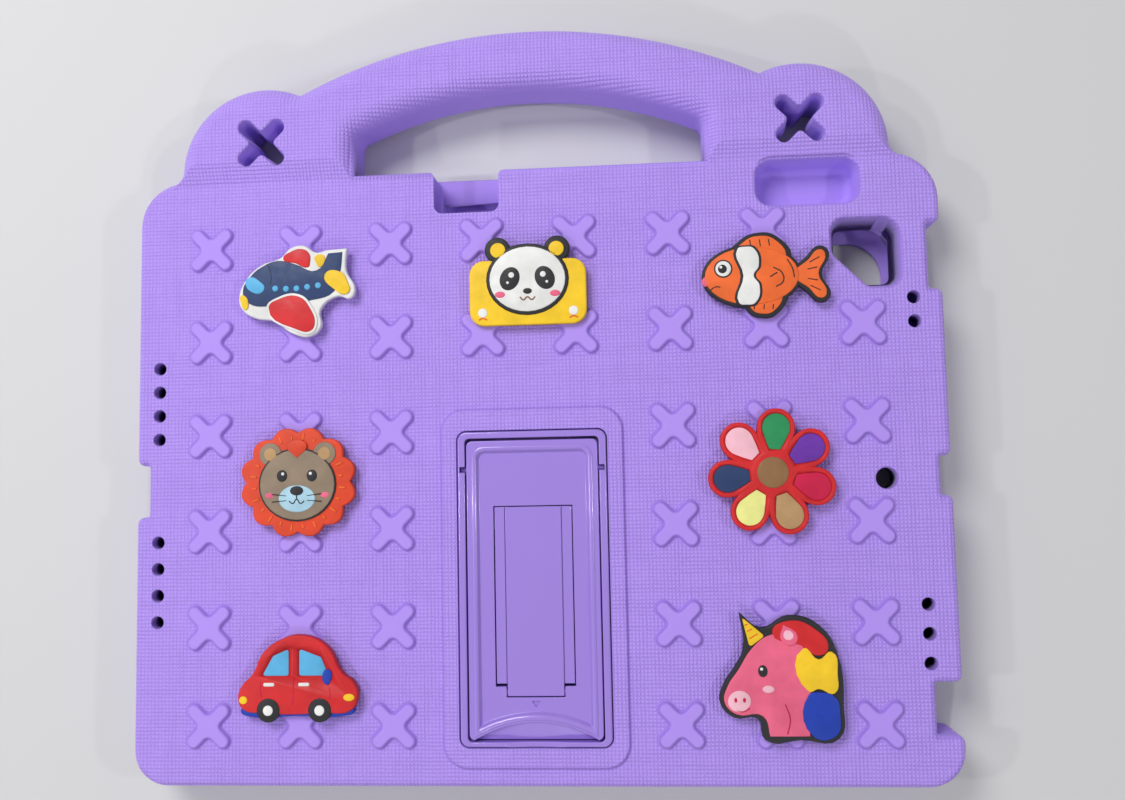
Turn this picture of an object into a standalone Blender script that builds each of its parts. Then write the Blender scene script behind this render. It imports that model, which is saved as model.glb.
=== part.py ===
"""A foam tablet case for children: a moulded foam shell with a carry handle and two ears, a fold-out stand in a
plastic tray, and seven snap-in charms. The shell is drawn as three solids: a frame, a back and a grip.

Units are metres, +Z up. The case lies on its front, as it does on a table: x runs across it, y up towards the
handle, and z from the front lip to the decorated back. Every place below is measured from the middle of the tablet,
and an empty then moves the whole case so that the origin is the middle of its footprint.
"""

import math

import bmesh
import bpy
from mathutils import Vector

MM = 0.001
TINY = 1e-6
GAP = 0.0003  # between pieces that touch
PAST = 0.0025  # how far a cutter runs on beyond what it cuts

# The tablet that the case is made for
TABLET_LENGTH = 0.2506
TABLET_WIDTH = 0.1741
TABLET_THICKNESS = 0.0075
TABLET_CORNER = 0.0098
TABLET_FIT = 0.0005

# Foam walls round the tablet
LIP = 0.0025
LIP_OVER_ENDS = 0.0028
LIP_OVER_SIDES = 0.0048
SCREEN_CORNER = 0.012
BACK_WALL = 0.0097
SIDE_WALL = 0.0132
BOTTOM_WALL = 0.01235
TOP_WALL = 0.02255
LOWER_CORNER = 0.012
UPPER_CORNER = 0.016
BODY_EDGE = 0.0025

# Ears and handle
GRIP_STEP = 0.003  # how far they stand above the back
GRIP_FOOT = 0.0025  # how far they reach down over the back
GRIP_EDGE = 0.006
EAR_RADIUS = 0.0303
EAR_INSET = 0.0454  # from the side of the case to the middle of an ear
EAR_RISE = 0.0028  # of that middle above the top edge
EAR_MEETS_HANDLE = 114.8  # degrees round the ear
HANDLE_RISE = 0.0495
HANDLE_SIZE = 0.0216
HANDLE_SAG = 0.0135  # of the inner arch between its middle and its ends
HANDLE_GAP_INSET = 0.0326  # from the middle of an ear to the finger gap
HANDLE_GAP_CORNER = 0.004
EAR_CROSS_RISE = 0.0092  # of the cross hole above the middle of the ear

# Raised crosses
CROSS_PITCH = 0.032
CROSS_ROW_PITCH = 0.03283
CROSS_COLUMNS = 8
CROSS_ROWS = 6
CROSS_GRID_RISE = 0.0026  # of the middle of the grid above the middle of the tablet
CROSS_HEIGHT = 0.0015
CROSS_REACH = 0.0069  # from the middle to the round end of an arm
CROSS_ARM = 0.0021  # half the width of an arm
CROSS_FILLET = 0.0015
CROSS_DRAFT = 0.0006
HOLE_CROSS_REACH = 0.0078
HOLE_CROSS_ARM = 0.0025
HOLE_CROSS_FILLET = 0.00125

# Raised pad round the stand
PAD_HEIGHT = 0.0012
PAD_SIDE = 0.0057
PAD_TOP = 0.0077
PAD_BOTTOM = 0.007
PAD_CORNER = 0.008
PAD_EDGE = 0.0009

# Openings in the foam
CAMERA_WIDTH = 0.0255
CAMERA_HEIGHT = 0.026
CAMERA_CUT = 0.0125  # of the slanted corner
CAMERA_PAST_CORNER = 0.0017  # beyond the end of the tablet
CAMERA_DRAFT = 0.003
CAMERA_RADII = (0.004, 0.005, 0.007, 0.005, 0.004)  # from the lower end of the slant, anticlockwise
MIC_INSET = 0.0077  # from the end of the tablet
MIC_RADIUS = 0.0035
VOLUME_WIDTH = 0.0365
VOLUME_HEIGHT = 0.0178
VOLUME_INSET = 0.0251  # from the side of the case
VOLUME_DEPTH = 0.011
VOLUME_DRAFT = 0.0018
VOLUME_CORNER = 0.0055
TOP_NOTCH_LEFT = -0.0328
TOP_NOTCH_RIGHT = -0.010
TOP_NOTCH_DEPTH = 0.0153
TOP_NOTCH_FLOOR = 0.0068
TOP_NOTCH_CORNER = 0.002
TOP_SLOT_WIDTH = 0.0068
HOLE_RADIUS = 0.0021
CHANNEL_DEPTH = 0.0072  # from the pocket into the side wall
CHANNEL_MARGIN = 0.001  # beyond the first and the last sound hole
HOLE_INSET = {-1: 0.0083, 1: 0.0100}
# side of the case, middle of the group, how many, pitch
SOUND_HOLES = (
    (-1, 0.0307, 4, 0.0083),
    (-1, -0.0311, 4, 0.0091),
    (1, 0.0560, 2, 0.0081),
    (1, -0.0507, 3, 0.0095),
)
# side of the case, middle, length of the notch, its depth, length of the hole behind it
SIDE_NOTCHES = (
    (-1, 0.0003, 0.0179, 0.0043, 0.0120),
    (1, 0.0742, 0.0223, 0.0044, 0.0140),
    (1, 0.0006, 0.0129, 0.0037, 0.0080),
    (1, -0.0749, 0.0170, 0.0087, 0.0090),
)
NOTCH_CORNER = 0.0015

# Stand: tray
TRAY_WIDTH = 0.0506
TRAY_LENGTH = 0.1048
TRAY_FOOT = 0.0135  # from the bottom edge of the case
TRAY_SIDE = 0.0025
TRAY_LOWER_END = 0.0017
TRAY_UPPER_END = 0.0023
TRAY_CORNER = 0.003
TRAY_EDGE = 0.0005
TRAY_RISE = 0.0016  # above the back
TRAY_FLOOR = 0.0012
FLANGE = 0.003
RAIL_HEIGHT = 0.0015
RAIL_WIDTH = 0.0012
RAIL_INSET = 0.0035  # from the lower bar
BITE_RADIUS = 0.0506  # of the finger cut in the lower bar
BITE_DEPTH = 0.0012
CATCH_DEPTH = 0.0005
CATCH_LENGTH = 0.006

# Stand: leg and prop
LEG_FIT = 0.0004
LEG_END_FIT = 0.0008
LEG_DROP = 0.0006  # of its rim below the tray's
LEG_PLATE = 0.003
LEG_RIM_HEIGHT = 0.001
LEG_RIM = 0.0035
LEG_CORNER = 0.002
LEG_EDGE = 0.0004
LEG_OPEN = 40.0  # degrees
HEEL = 0.0097  # of the leg above its hinge
PIN_RADIUS = 0.0012
PIN_LENGTH = 0.0020
PIN_FIT = 0.00025
SCOOP_RADIUS = 0.041
SCOOP_RISE = 0.0075  # of the top of the scoop above the end of the leg
SCOOP_RIDGE = 0.0012
SCOOP_DEPTH = 0.0022
ARROW_SIZE = 0.0030
ARROW_DEPTH = 0.0004
PROP_HINGE = 0.0742  # from the leg's hinge
PROP_LENGTH = 0.0614
PROP_WIDTH = 0.019
PROP_THICKNESS = 0.0026
PROP_FLANGE = 0.0036
PROP_FLANGE_DROP = 0.0007
PROP_END = 0.0015  # beyond its hinge
PROP_ROUND = 0.0009
PROP_NECK = 0.0026  # from its hinge to the start of its flanges
PROP_NECK_FIT = 0.0009
PROP_FIT = 0.00035
PROP_PIN_RADIUS = 0.0009
PROP_PIN_LENGTH = 0.0017

# Charms
CHARM_PITCH = 2.5  # columns of crosses from one charm to the next
CHARM_ROW_PITCH = 2.0
CHARM_BASE = 2.0  # thickness in millimetres, as the designs below are
CHARM_FIELD = 0.6
POST_RADIUS = 0.0025
POST_HEAD_RADIUS = 0.005
POST_HEAD = 0.0019

# Worked out from the sizes above
POCKET_X = TABLET_LENGTH / 2 + TABLET_FIT
POCKET_Y = TABLET_WIDTH / 2 + TABLET_FIT
POCKET_BACK = LIP + TABLET_THICKNESS + GAP
BACK = POCKET_BACK + BACK_WALL
SIDE = POCKET_X + SIDE_WALL
BOTTOM = -POCKET_Y - BOTTOM_WALL
TOP = POCKET_Y + TOP_WALL
GRIP_BACK = BACK + GRIP_STEP
EAR_X = SIDE - EAR_INSET
EAR_Y = TOP + EAR_RISE
HANDLE_TOP = TOP + HANDLE_RISE
MIDDLE_Y = (BOTTOM + HANDLE_TOP) / 2

TRAY_X = TRAY_WIDTH / 2
TRAY_Y0 = BOTTOM + TRAY_FOOT
TRAY_Y1 = TRAY_Y0 + TRAY_LENGTH
TRAY_LOW = POCKET_BACK + GAP
FLOOR = TRAY_LOW + TRAY_FLOOR
TRAY_TOP = BACK + TRAY_RISE
LEG_X = TRAY_X - TRAY_SIDE - LEG_FIT
LEG_Y0 = TRAY_Y0 + TRAY_LOWER_END + LEG_FIT
LEG_Y1 = TRAY_Y1 - TRAY_UPPER_END - LEG_END_FIT
LEG_TOP = TRAY_TOP - LEG_DROP
LEG_FACE = LEG_TOP - LEG_RIM_HEIGHT
LEG_LOW = LEG_FACE - LEG_PLATE
HINGE = Vector((0, LEG_Y1 - HEEL, LEG_LOW + LEG_PLATE / 2))
PROP_AXIS = Vector((0, HINGE.y - PROP_HINGE, HINGE.z))
CHARM_SEAT = BACK + CROSS_HEIGHT + GAP

PURPLE_FOAM = ((0.42, 0.27, 0.85), 0.85)
PURPLE_PLASTIC = ((0.36, 0.22, 0.78), 0.4)
CHARM_ROUGHNESS = 0.45


def arc(x, y, radius, start, end, steps):
    """Points along an arc, from one angle in degrees to another."""
    points = []
    for step in range(steps + 1):
        angle = math.radians(start + (end - start) * step / steps)
        points.append((x + radius * math.cos(angle), y + radius * math.sin(angle)))
    return points


def ellipse(x, y, across, up, steps):
    """Points round an ellipse of these two radii."""
    return [(x + across * px, y + up * py) for px, py in arc(0, 0, 1, 0, 360, steps)[:-1]]


def rounded(corners, radii, steps):
    """A polygon, anticlockwise, with each corner turned to an arc of its radius."""
    points = []
    count = len(corners)
    for index, corner in enumerate(corners):
        here = Vector(corner)
        before = (Vector(corners[index - 1]) - here).normalized()
        after = (Vector(corners[(index + 1) % count]) - here).normalized()
        half = before.angle(after) / 2
        middle = here + (before + after).normalized() * radii[index] / math.sin(half)
        first = here + before * radii[index] / math.tan(half) - middle
        turn = math.pi - 2 * half
        start = math.atan2(first.y, first.x)
        points += arc(middle.x, middle.y, radii[index], math.degrees(start), math.degrees(start + turn), steps)
    return points


def box_outline(x0, y0, x1, y1, radius, steps=4):
    """A rectangle with round corners."""
    return rounded(rectangle(x0, y0, x1, y1), [radius] * 4, steps)


def rectangle(x0, y0, x1, y1):
    return [(x0, y0), (x1, y0), (x1, y1), (x0, y1)]


def cross(x, y, reach, arm, fillet):
    """A diagonal cross with round arms and round inner corners."""
    points = []
    for quarter in range(4):
        angle = 45 + 90 * quarter
        tip = Vector((math.cos(math.radians(angle)), math.sin(math.radians(angle)))) * reach
        points += arc(x + tip.x, y + tip.y, arm, angle - 90, angle + 90, 4)
        inner = math.radians(angle + 45)
        distance = (arm + fillet) * math.sqrt(2)
        centre = (x + distance * math.cos(inner), y + distance * math.sin(inner))
        points += arc(*centre, fillet, angle + 270, angle + 180, 1)
    return points


def smooth_loop(points, steps):
    """A closed curve through a few points, in millimetres."""
    made = []
    count = len(points)
    for index in range(count):
        p0, p1, p2, p3 = (Vector(points[(index + k - 1) % count]) for k in range(4))
        for step in range(steps):
            t = step / steps
            bend = (2 * p0 - 5 * p1 + 4 * p2 - p3) * t * t + (3 * p1 - p0 - 3 * p2 + p3) * t * t * t
            made.append(tuple((2 * p1 + (p2 - p0) * t + bend) / 2))
    return made


def add_prism(bm, outline, low, high, top_outline=None):
    """Adds a prism to a mesh. Where it has another outline at the top, with as many points, its sides slope."""
    ring = [bm.verts.new((x, y, low)) for x, y in outline]
    face = bm.faces.new(ring)
    made = bmesh.ops.extrude_face_region(bm, geom=[face])["geom"]
    top = {item for item in made if isinstance(item, bmesh.types.BMVert)}
    for low_vert, end in zip(ring, top_outline or outline):
        beside = (edge.other_vert(low_vert) for edge in low_vert.link_edges)
        high_vert = next(vert for vert in beside if vert in top)
        high_vert.co = (*end, high)


def prism(outline, low, high, top_outline=None):
    bm = bmesh.new()
    add_prism(bm, outline, low, high, top_outline)
    return bm


def beam(profile, x0, x1):
    """A profile of (y, z) points, run along x."""
    bm = bmesh.new()
    face = bm.faces.new([bm.verts.new((x0, y, z)) for y, z in profile])
    made = bmesh.ops.extrude_face_region(bm, geom=[face])["geom"]
    bmesh.ops.translate(bm, verts=[v for v in made if isinstance(v, bmesh.types.BMVert)], vec=(x1 - x0, 0, 0))
    return bm


def pins(axis, radius, reach, start):
    """A round pin to each side along x, from start to reach."""
    bm = bmesh.new()
    for side in (-1, 1):
        ring = [bm.verts.new((side * start, y, z)) for y, z in arc(axis.y, axis.z, radius, 0, 360, 12)[:-1]]
        made = bmesh.ops.extrude_face_region(bm, geom=[bm.faces.new(ring)])["geom"]
        ends = [item for item in made if isinstance(item, bmesh.types.BMVert)]
        bmesh.ops.translate(bm, verts=ends, vec=(side * (reach - start), 0, 0))
    return bm


def round_edges(bm, radius, segments, chosen):
    """Rounds the edges that a test picks."""
    edges = [edge for edge in bm.edges if chosen(edge)]
    bmesh.ops.bevel(
        bm, geom=edges, offset=radius, segments=segments, profile=0.5, affect="EDGES", material=-1, clamp_overlap=True
    )


def flat_at(*heights):
    """A test for edges that lie level at one of these heights."""
    return lambda edge: any(all(abs(v.co.z - z) < TINY for v in edge.verts) for z in heights)


def make_object(name, bm, parent):
    """Turns a finished mesh into an object under the case's empty."""
    bmesh.ops.recalc_face_normals(bm, faces=bm.faces[:])
    mesh = bpy.data.meshes.new(name)
    bm.to_mesh(mesh)
    bm.free()
    obj = bpy.data.objects.new(name, mesh)
    bpy.context.scene.collection.objects.link(obj)
    obj.parent = parent
    return obj


def combine(target, operation, pieces, parent):
    """Joins the pieces to the target, or cuts them out of it, with one Boolean over a collection of helpers."""
    group = bpy.data.collections.new(f"{target.name}_{operation.lower()}")
    bpy.context.scene.collection.children.link(group)
    for number, bm in enumerate(pieces):
        helper = make_object(f"{group.name}_{number}", bm, parent)
        bpy.context.scene.collection.objects.unlink(helper)
        group.objects.link(helper)
        helper.hide_render = True
        helper.display_type = "WIRE"
    modifier = target.modifiers.new(operation.lower(), "BOOLEAN")
    modifier.operation = operation
    modifier.solver = "EXACT"
    modifier.operand_type = "COLLECTION"
    modifier.collection = group


def finish(obj, colour, roughness):
    """Gives a node its material and smooth shading on its round faces."""
    material = bpy.data.materials.new(obj.name)
    material.use_nodes = True
    shader = material.node_tree.nodes["Principled BSDF"]
    shader.inputs["Base Color"].default_value = (*colour, 1)
    shader.inputs["Roughness"].default_value = roughness
    obj.data.materials.append(material)
    obj.data.shade_smooth()
    obj.data.set_sharp_from_angle(angle=math.radians(35))


def set_origin(obj, place, parent_place):
    """Moves an object's origin onto its joint, leaving its shape where it is."""
    for vert in obj.data.vertices:
        vert.co -= place
    obj.location = place - parent_place


def body_block(low, high, round_at, grow=0.0):
    """A slab in the outline of the case, or a little wider, with its long edges rounded at one height."""
    x, bottom, top = SIDE + grow, BOTTOM - grow, TOP + grow
    radii = [LOWER_CORNER + grow] * 2 + [UPPER_CORNER + grow] * 2
    bm = prism(rounded(rectangle(-x, bottom, x, top), radii, 6), low, high)
    round_edges(bm, BODY_EDGE + grow, 2, flat_at(round_at))
    return bm


def grip_outline():
    """The two ears and the handle between them, round the finger gap."""
    foot = TOP - GRIP_FOOT
    foot_angle = math.degrees(math.asin((foot - EAR_Y) / EAR_RADIUS))
    right_ear = arc(EAR_X, EAR_Y, EAR_RADIUS, foot_angle, EAR_MEETS_HANDLE, 14)
    left_ear = [(-x, y) for x, y in reversed(right_ear)]

    meet_x, meet_y = right_ear[-1]
    drop = HANDLE_TOP - meet_y
    outer = (meet_x**2 + drop**2) / (2 * drop)
    outer_half = math.degrees(math.asin(meet_x / outer))
    arch = arc(0, HANDLE_TOP - outer, outer, 90 - outer_half, 90 + outer_half, 18)[1:-1]

    gap_x = EAR_X - HANDLE_GAP_INSET
    under = HANDLE_TOP - HANDLE_SIZE
    inner = (gap_x**2 + HANDLE_SAG**2) / (2 * HANDLE_SAG)
    corner_x = gap_x - HANDLE_GAP_CORNER
    corner_y = under - inner + math.sqrt((inner - HANDLE_GAP_CORNER) ** 2 - corner_x**2)
    corner_end = math.degrees(math.atan2(corner_y - under + inner, corner_x))
    left_corner = arc(-corner_x, corner_y, HANDLE_GAP_CORNER, 180, 180 - corner_end, 3)
    right_corner = [(-x, y) for x, y in reversed(left_corner)]
    underside = arc(0, under - inner, inner, 180 - corner_end, corner_end, 14)[1:-1]
    gap = [(-gap_x, foot)] + left_corner + underside + right_corner + [(gap_x, foot)]
    return right_ear + arch + left_ear + gap


def grip_block():
    """Ears and handle as one padded arch. Its edges are round apart from its foot, which lies in the slab."""
    bm = prism(grip_outline(), 0, GRIP_BACK)
    foot = TOP - GRIP_FOOT

    def outer_edge(edge):
        low = all(abs(v.co.z) < TINY for v in edge.verts)
        at_foot = all(abs(v.co.y - foot) < TINY for v in edge.verts)
        return low and not at_foot

    round_edges(bm, GRIP_EDGE, 3, lambda edge: outer_edge(edge) or flat_at(GRIP_BACK)(edge))
    return bm


def pad_box():
    return -TRAY_X - PAD_SIDE, TRAY_Y0 - PAD_BOTTOM, TRAY_X + PAD_SIDE, TRAY_Y1 + PAD_TOP


def pad_block():
    bm = prism(box_outline(*pad_box(), PAD_CORNER, 5), POCKET_BACK + GAP, BACK + PAD_HEIGHT)
    round_edges(bm, PAD_EDGE, 2, flat_at(BACK + PAD_HEIGHT))
    return bm


def camera_corners(inset):
    """The window over the camera, anticlockwise from its lower end of the slant."""
    x1 = TABLET_LENGTH / 2 + CAMERA_PAST_CORNER - inset
    y1 = TABLET_WIDTH / 2 + CAMERA_PAST_CORNER + GAP - inset
    x0 = x1 - CAMERA_WIDTH + 2 * inset
    y0 = y1 - CAMERA_HEIGHT + 2 * inset
    cut = CAMERA_CUT - (2 - math.sqrt(2)) * inset
    return [(x0 + cut, y0), (x1, y0), (x1, y1), (x0, y1), (x0, y0 + cut)]


def cross_places():
    """The middles of the raised crosses: a full grid, apart from the pad's place and the camera's."""
    x0, y0, x1, y1 = pad_box()
    half = CROSS_REACH / math.sqrt(2) + CROSS_ARM
    camera_x, camera_y = camera_corners(0)[4]
    places = []
    for row in range(CROSS_ROWS):
        for column in range(CROSS_COLUMNS):
            x = (column - (CROSS_COLUMNS - 1) / 2) * CROSS_PITCH
            y = CROSS_GRID_RISE + (row - (CROSS_ROWS - 1) / 2) * CROSS_ROW_PITCH
            on_pad = x0 - half < x < x1 + half and y0 - half < y < y1 + half
            on_camera = x + half > camera_x and y + half > camera_y - CAMERA_CUT / 2
            if not on_pad and not on_camera:
                places.append((x, y))
    return places


def cross_bumps():
    bm = bmesh.new()
    for x, y in cross_places():
        low = cross(x, y, CROSS_REACH, CROSS_ARM, CROSS_FILLET)
        high = cross(x, y, CROSS_REACH, CROSS_ARM - CROSS_DRAFT, CROSS_FILLET + CROSS_DRAFT)
        add_prism(bm, low, BACK - CROSS_HEIGHT, BACK + CROSS_HEIGHT, high)
    return bm


def pocket_cuts():
    """The tablet's slot, and the screen opening in the lip."""
    slot = box_outline(-POCKET_X, -POCKET_Y, POCKET_X, POCKET_Y, TABLET_CORNER + TABLET_FIT, 5)
    screen_x = POCKET_X - LIP_OVER_ENDS
    screen_y = POCKET_Y - LIP_OVER_SIDES
    screen = box_outline(-screen_x, -screen_y, screen_x, screen_y, SCREEN_CORNER, 5)
    return [prism(slot, LIP, POCKET_BACK + PAST), prism(screen, -PAST, LIP + PAST)]


def tray_cuts():
    """The hole for the stand's tray, wider on the tablet's side, where its flange lies."""
    tray = box_outline(-TRAY_X - GAP, TRAY_Y0 - GAP, TRAY_X + GAP, TRAY_Y1 + GAP, TRAY_CORNER + GAP)
    reach = FLANGE + GAP
    flange = box_outline(-TRAY_X - reach, TRAY_Y0 - reach, TRAY_X + reach, TRAY_Y1 + reach, TRAY_CORNER + reach)
    return [prism(tray, POCKET_BACK - PAST, TRAY_TOP), prism(flange, POCKET_BACK - PAST, FLOOR + GAP)]


def camera_cut():
    outer = rounded(camera_corners(0), CAMERA_RADII, 4)
    inner = rounded(camera_corners(CAMERA_DRAFT), [radius - CAMERA_DRAFT / 3 for radius in CAMERA_RADII], 4)
    return prism(inner, POCKET_BACK - PAST, BACK + PAST, outer)


def volume_cut(beyond):
    """The recess for the volume buttons, which narrows towards its floor and reaches a given way beyond the top edge."""
    x1 = SIDE - VOLUME_INSET
    x0 = x1 - VOLUME_WIDTH
    y0 = TOP - VOLUME_HEIGHT
    y1 = TOP + GAP + beyond
    d = VOLUME_DRAFT
    low = box_outline(x0 + d, y0 + d, x1 - d, y1 - d, VOLUME_CORNER - d)
    high = box_outline(x0, y0, x1, y1, VOLUME_CORNER)
    return prism(low, BACK - VOLUME_DEPTH, GRIP_BACK + GAP, high)


def notch_cuts():
    """The notch in the top edge, and those in the two sides, which run through the whole thickness."""
    floor = TOP - TOP_NOTCH_DEPTH
    top = box_outline(TOP_NOTCH_LEFT, floor, TOP_NOTCH_RIGHT, TOP + GRIP_EDGE, TOP_NOTCH_CORNER)
    made = [prism(top, TOP_NOTCH_FLOOR, BACK + PAST)]
    for side, middle, length, depth, _ in SIDE_NOTCHES:
        x0, x1 = sorted((side * (SIDE - depth), side * (SIDE + BODY_EDGE)))
        notch = box_outline(x0, middle - length / 2, x1, middle + length / 2, NOTCH_CORNER)
        made.append(prism(notch, -PAST, BACK + PAST))
    return made


def port_cuts():
    """The holes from the notches to the tablet's edges, and the channels beside it, under the sound holes."""
    floor = TOP - TOP_NOTCH_DEPTH
    inset = TOP_NOTCH_CORNER / 2
    boxes = [(TOP_NOTCH_LEFT + inset, POCKET_Y - PAST, TOP_NOTCH_RIGHT - inset, floor + TOP_SLOT_WIDTH)]
    for side, middle, _, depth, hole in SIDE_NOTCHES:
        x0, x1 = sorted((side * (POCKET_X - PAST), side * (SIDE - depth + NOTCH_CORNER)))
        boxes.append((x0, middle - hole / 2, x1, middle + hole / 2))
    for side, middle, count, pitch in SOUND_HOLES:
        half = (count - 1) / 2 * pitch + HOLE_RADIUS + CHANNEL_MARGIN
        x0, x1 = sorted((side * (POCKET_X - PAST), side * (POCKET_X + CHANNEL_DEPTH)))
        boxes.append((x0, middle - half, x1, middle + half))
    return [prism(rectangle(*box), LIP + GAP, POCKET_BACK + PAST) for box in boxes]


def sound_cuts():
    """Rows of sound holes, and one hole for a microphone."""
    holes = bmesh.new()
    for side, middle, count, pitch in SOUND_HOLES:
        for index in range(count):
            y = middle + (index - (count - 1) / 2) * pitch
            hole = ellipse(side * (SIDE - HOLE_INSET[side]), y, HOLE_RADIUS, HOLE_RADIUS, 10)
            add_prism(holes, hole, POCKET_BACK - PAST, BACK + PAST)
    mic_x = TABLET_LENGTH / 2 - MIC_INSET
    add_prism(holes, ellipse(mic_x, 0, MIC_RADIUS, MIC_RADIUS, 16), POCKET_BACK - PAST, BACK + PAST)
    return holes


def ear_cuts():
    """The cross-shaped strap holes through the ears."""
    bm = bmesh.new()
    for side in (-1, 1):
        outline = cross(side * EAR_X, EAR_Y + EAR_CROSS_RISE, HOLE_CROSS_REACH, HOLE_CROSS_ARM, HOLE_CROSS_FILLET)
        add_prism(bm, outline, -PAST, GRIP_BACK + PAST)
    return bm


def charm_place(column, row):
    """Where a charm's post stands, midway between four crosses."""
    return (
        column * CHARM_PITCH * CROSS_PITCH,
        CROSS_GRID_RISE + row * CHARM_ROW_PITCH * CROSS_ROW_PITCH,
    )


def charm_hole_cuts(places):
    """A hole for each charm's post, wider on the tablet's side where its head lies."""
    posts = bmesh.new()
    heads = bmesh.new()
    for x, y in places:
        post = POST_RADIUS + GAP
        head = POST_HEAD_RADIUS + GAP
        add_prism(posts, ellipse(x, y, post, post, 12), POCKET_BACK - PAST, BACK + PAST)
        add_prism(heads, ellipse(x, y, head, head, 12), POCKET_BACK - PAST, POCKET_BACK + POST_HEAD + 2 * GAP)
    return [posts, heads]


def foam_frame(origin):
    """The walls round the tablet, with the lip that holds it."""
    frame = make_object("foam_frame", body_block(0, POCKET_BACK - GAP, 0), origin)
    combine(frame, "DIFFERENCE", pocket_cuts() + notch_cuts() + port_cuts() + [volume_cut(PAST)], origin)
    finish(frame, *PURPLE_FOAM)


def foam_back(origin, charm_places):
    """The back wall, with its raised pad and crosses."""
    back = make_object("foam_back", body_block(POCKET_BACK, BACK, BACK), origin)
    combine(back, "UNION", [pad_block(), cross_bumps()], origin)
    cuts = tray_cuts() + notch_cuts() + [camera_cut(), volume_cut(PAST), sound_cuts()]
    combine(back, "DIFFERENCE", cuts + charm_hole_cuts(charm_places), origin)
    finish(back, *PURPLE_FOAM)


def foam_grip(origin):
    """The ears and the handle, which reach a little way over the back."""
    grip = make_object("foam_grip", grip_block(), origin)
    body = body_block(-PAST, BACK + GAP, BACK + GAP, GAP)
    combine(grip, "DIFFERENCE", [body, volume_cut(0), ear_cuts()], origin)
    finish(grip, *PURPLE_FOAM)


def stand_tray(origin):
    """The tray: a frame with a floor, held in the foam by a flange on the tablet's side."""
    outer = box_outline(-TRAY_X, TRAY_Y0, TRAY_X, TRAY_Y1, TRAY_CORNER)
    bm = prism(outer, TRAY_LOW, TRAY_TOP)
    round_edges(bm, TRAY_EDGE, 2, flat_at(TRAY_TOP))
    tray = make_object("stand_tray", bm, origin)
    flange = box_outline(
        -TRAY_X - FLANGE, TRAY_Y0 - FLANGE, TRAY_X + FLANGE, TRAY_Y1 + FLANGE, TRAY_CORNER + FLANGE
    )
    combine(tray, "UNION", [prism(flange, TRAY_LOW, FLOOR)], origin)

    inner_x = TRAY_X - TRAY_SIDE
    inner_y0 = TRAY_Y0 + TRAY_LOWER_END
    inner_y1 = TRAY_Y1 - TRAY_UPPER_END
    well = box_outline(-inner_x, inner_y0, inner_x, inner_y1, TRAY_CORNER / 2)
    slot_half = PIN_RADIUS + PIN_FIT
    slot_reach = LEG_X + PIN_LENGTH + PIN_FIT
    low = HINGE.z - slot_half
    slots = bmesh.new()
    for side in (-1, 1):
        x0, x1 = sorted((side * (inner_x - TRAY_SIDE), side * slot_reach))
        add_prism(slots, rectangle(x0, HINGE.y - slot_half, x1, HINGE.y + slot_half), low, TRAY_TOP + PAST)
    bite = bmesh.new()
    bite_profile = arc(0, TRAY_TOP - BITE_DEPTH + BITE_RADIUS, BITE_RADIUS, 0, 360, 64)[:-1]
    ring = [bite.verts.new((x, TRAY_Y0 - PAST, z)) for x, z in bite_profile]
    made = bmesh.ops.extrude_face_region(bite, geom=[bite.faces.new(ring)])["geom"]
    ends = [item for item in made if isinstance(item, bmesh.types.BMVert)]
    bmesh.ops.translate(bite, verts=ends, vec=(0, PAST + TRAY_LOWER_END + LEG_FIT, 0))
    combine(tray, "DIFFERENCE", [prism(well, FLOOR, TRAY_TOP + PAST), slots, bite], origin)

    rails = bmesh.new()
    rail_x = PROP_WIDTH / 2 + PROP_FLANGE + PROP_FIT * 2
    for side in (-1, 1):
        x0, x1 = sorted((side * rail_x, side * (rail_x + RAIL_WIDTH)))
        rail = rectangle(x0, inner_y0 + RAIL_INSET, x1, HINGE.y - HEEL)
        add_prism(rails, rail, FLOOR - TRAY_FLOOR / 2, FLOOR + RAIL_HEIGHT)
    combine(tray, "UNION", [rails], origin)
    catch_y = open_tip_y()
    catch = rectangle(-rail_x + GAP, catch_y - CATCH_LENGTH / 2, rail_x - GAP, catch_y + CATCH_LENGTH / 2)
    combine(tray, "DIFFERENCE", [prism(catch, FLOOR - CATCH_DEPTH, FLOOR + CATCH_DEPTH)], origin)
    finish(tray, *PURPLE_PLASTIC)


def open_tip_y():
    """Where the prop's tip meets the tray's floor when the leg is fully open."""
    leg = math.radians(LEG_OPEN)
    rise = PROP_HINGE * math.sin(leg) + HINGE.z - FLOOR
    slope = math.asin(min(1, rise / PROP_LENGTH))
    return HINGE.y - PROP_HINGE * math.cos(leg) + PROP_LENGTH * math.cos(slope)


def prop_lines(fit, neck_fit):
    """Half widths of the prop's tongue and flanges, and the places of its end, neck and tip, grown by two fits."""
    tongue = PROP_WIDTH / 2 + fit
    end = PROP_AXIS.y - PROP_END - fit
    neck = PROP_AXIS.y + PROP_NECK - neck_fit
    return tongue, tongue + PROP_FLANGE, end, neck, PROP_AXIS.y + PROP_LENGTH + fit


def prop_window():
    """The window in the leg that the prop folds into."""
    x0, x1, end, neck, tip = prop_lines(PROP_FIT, PROP_NECK_FIT)
    outline = [(-x0, end), (x0, end), (x0, neck), (x1, neck), (x1, tip), (-x1, tip), (-x1, neck), (-x0, neck)]
    return prism(outline, LEG_LOW - PAST, LEG_TOP + PAST)


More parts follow.
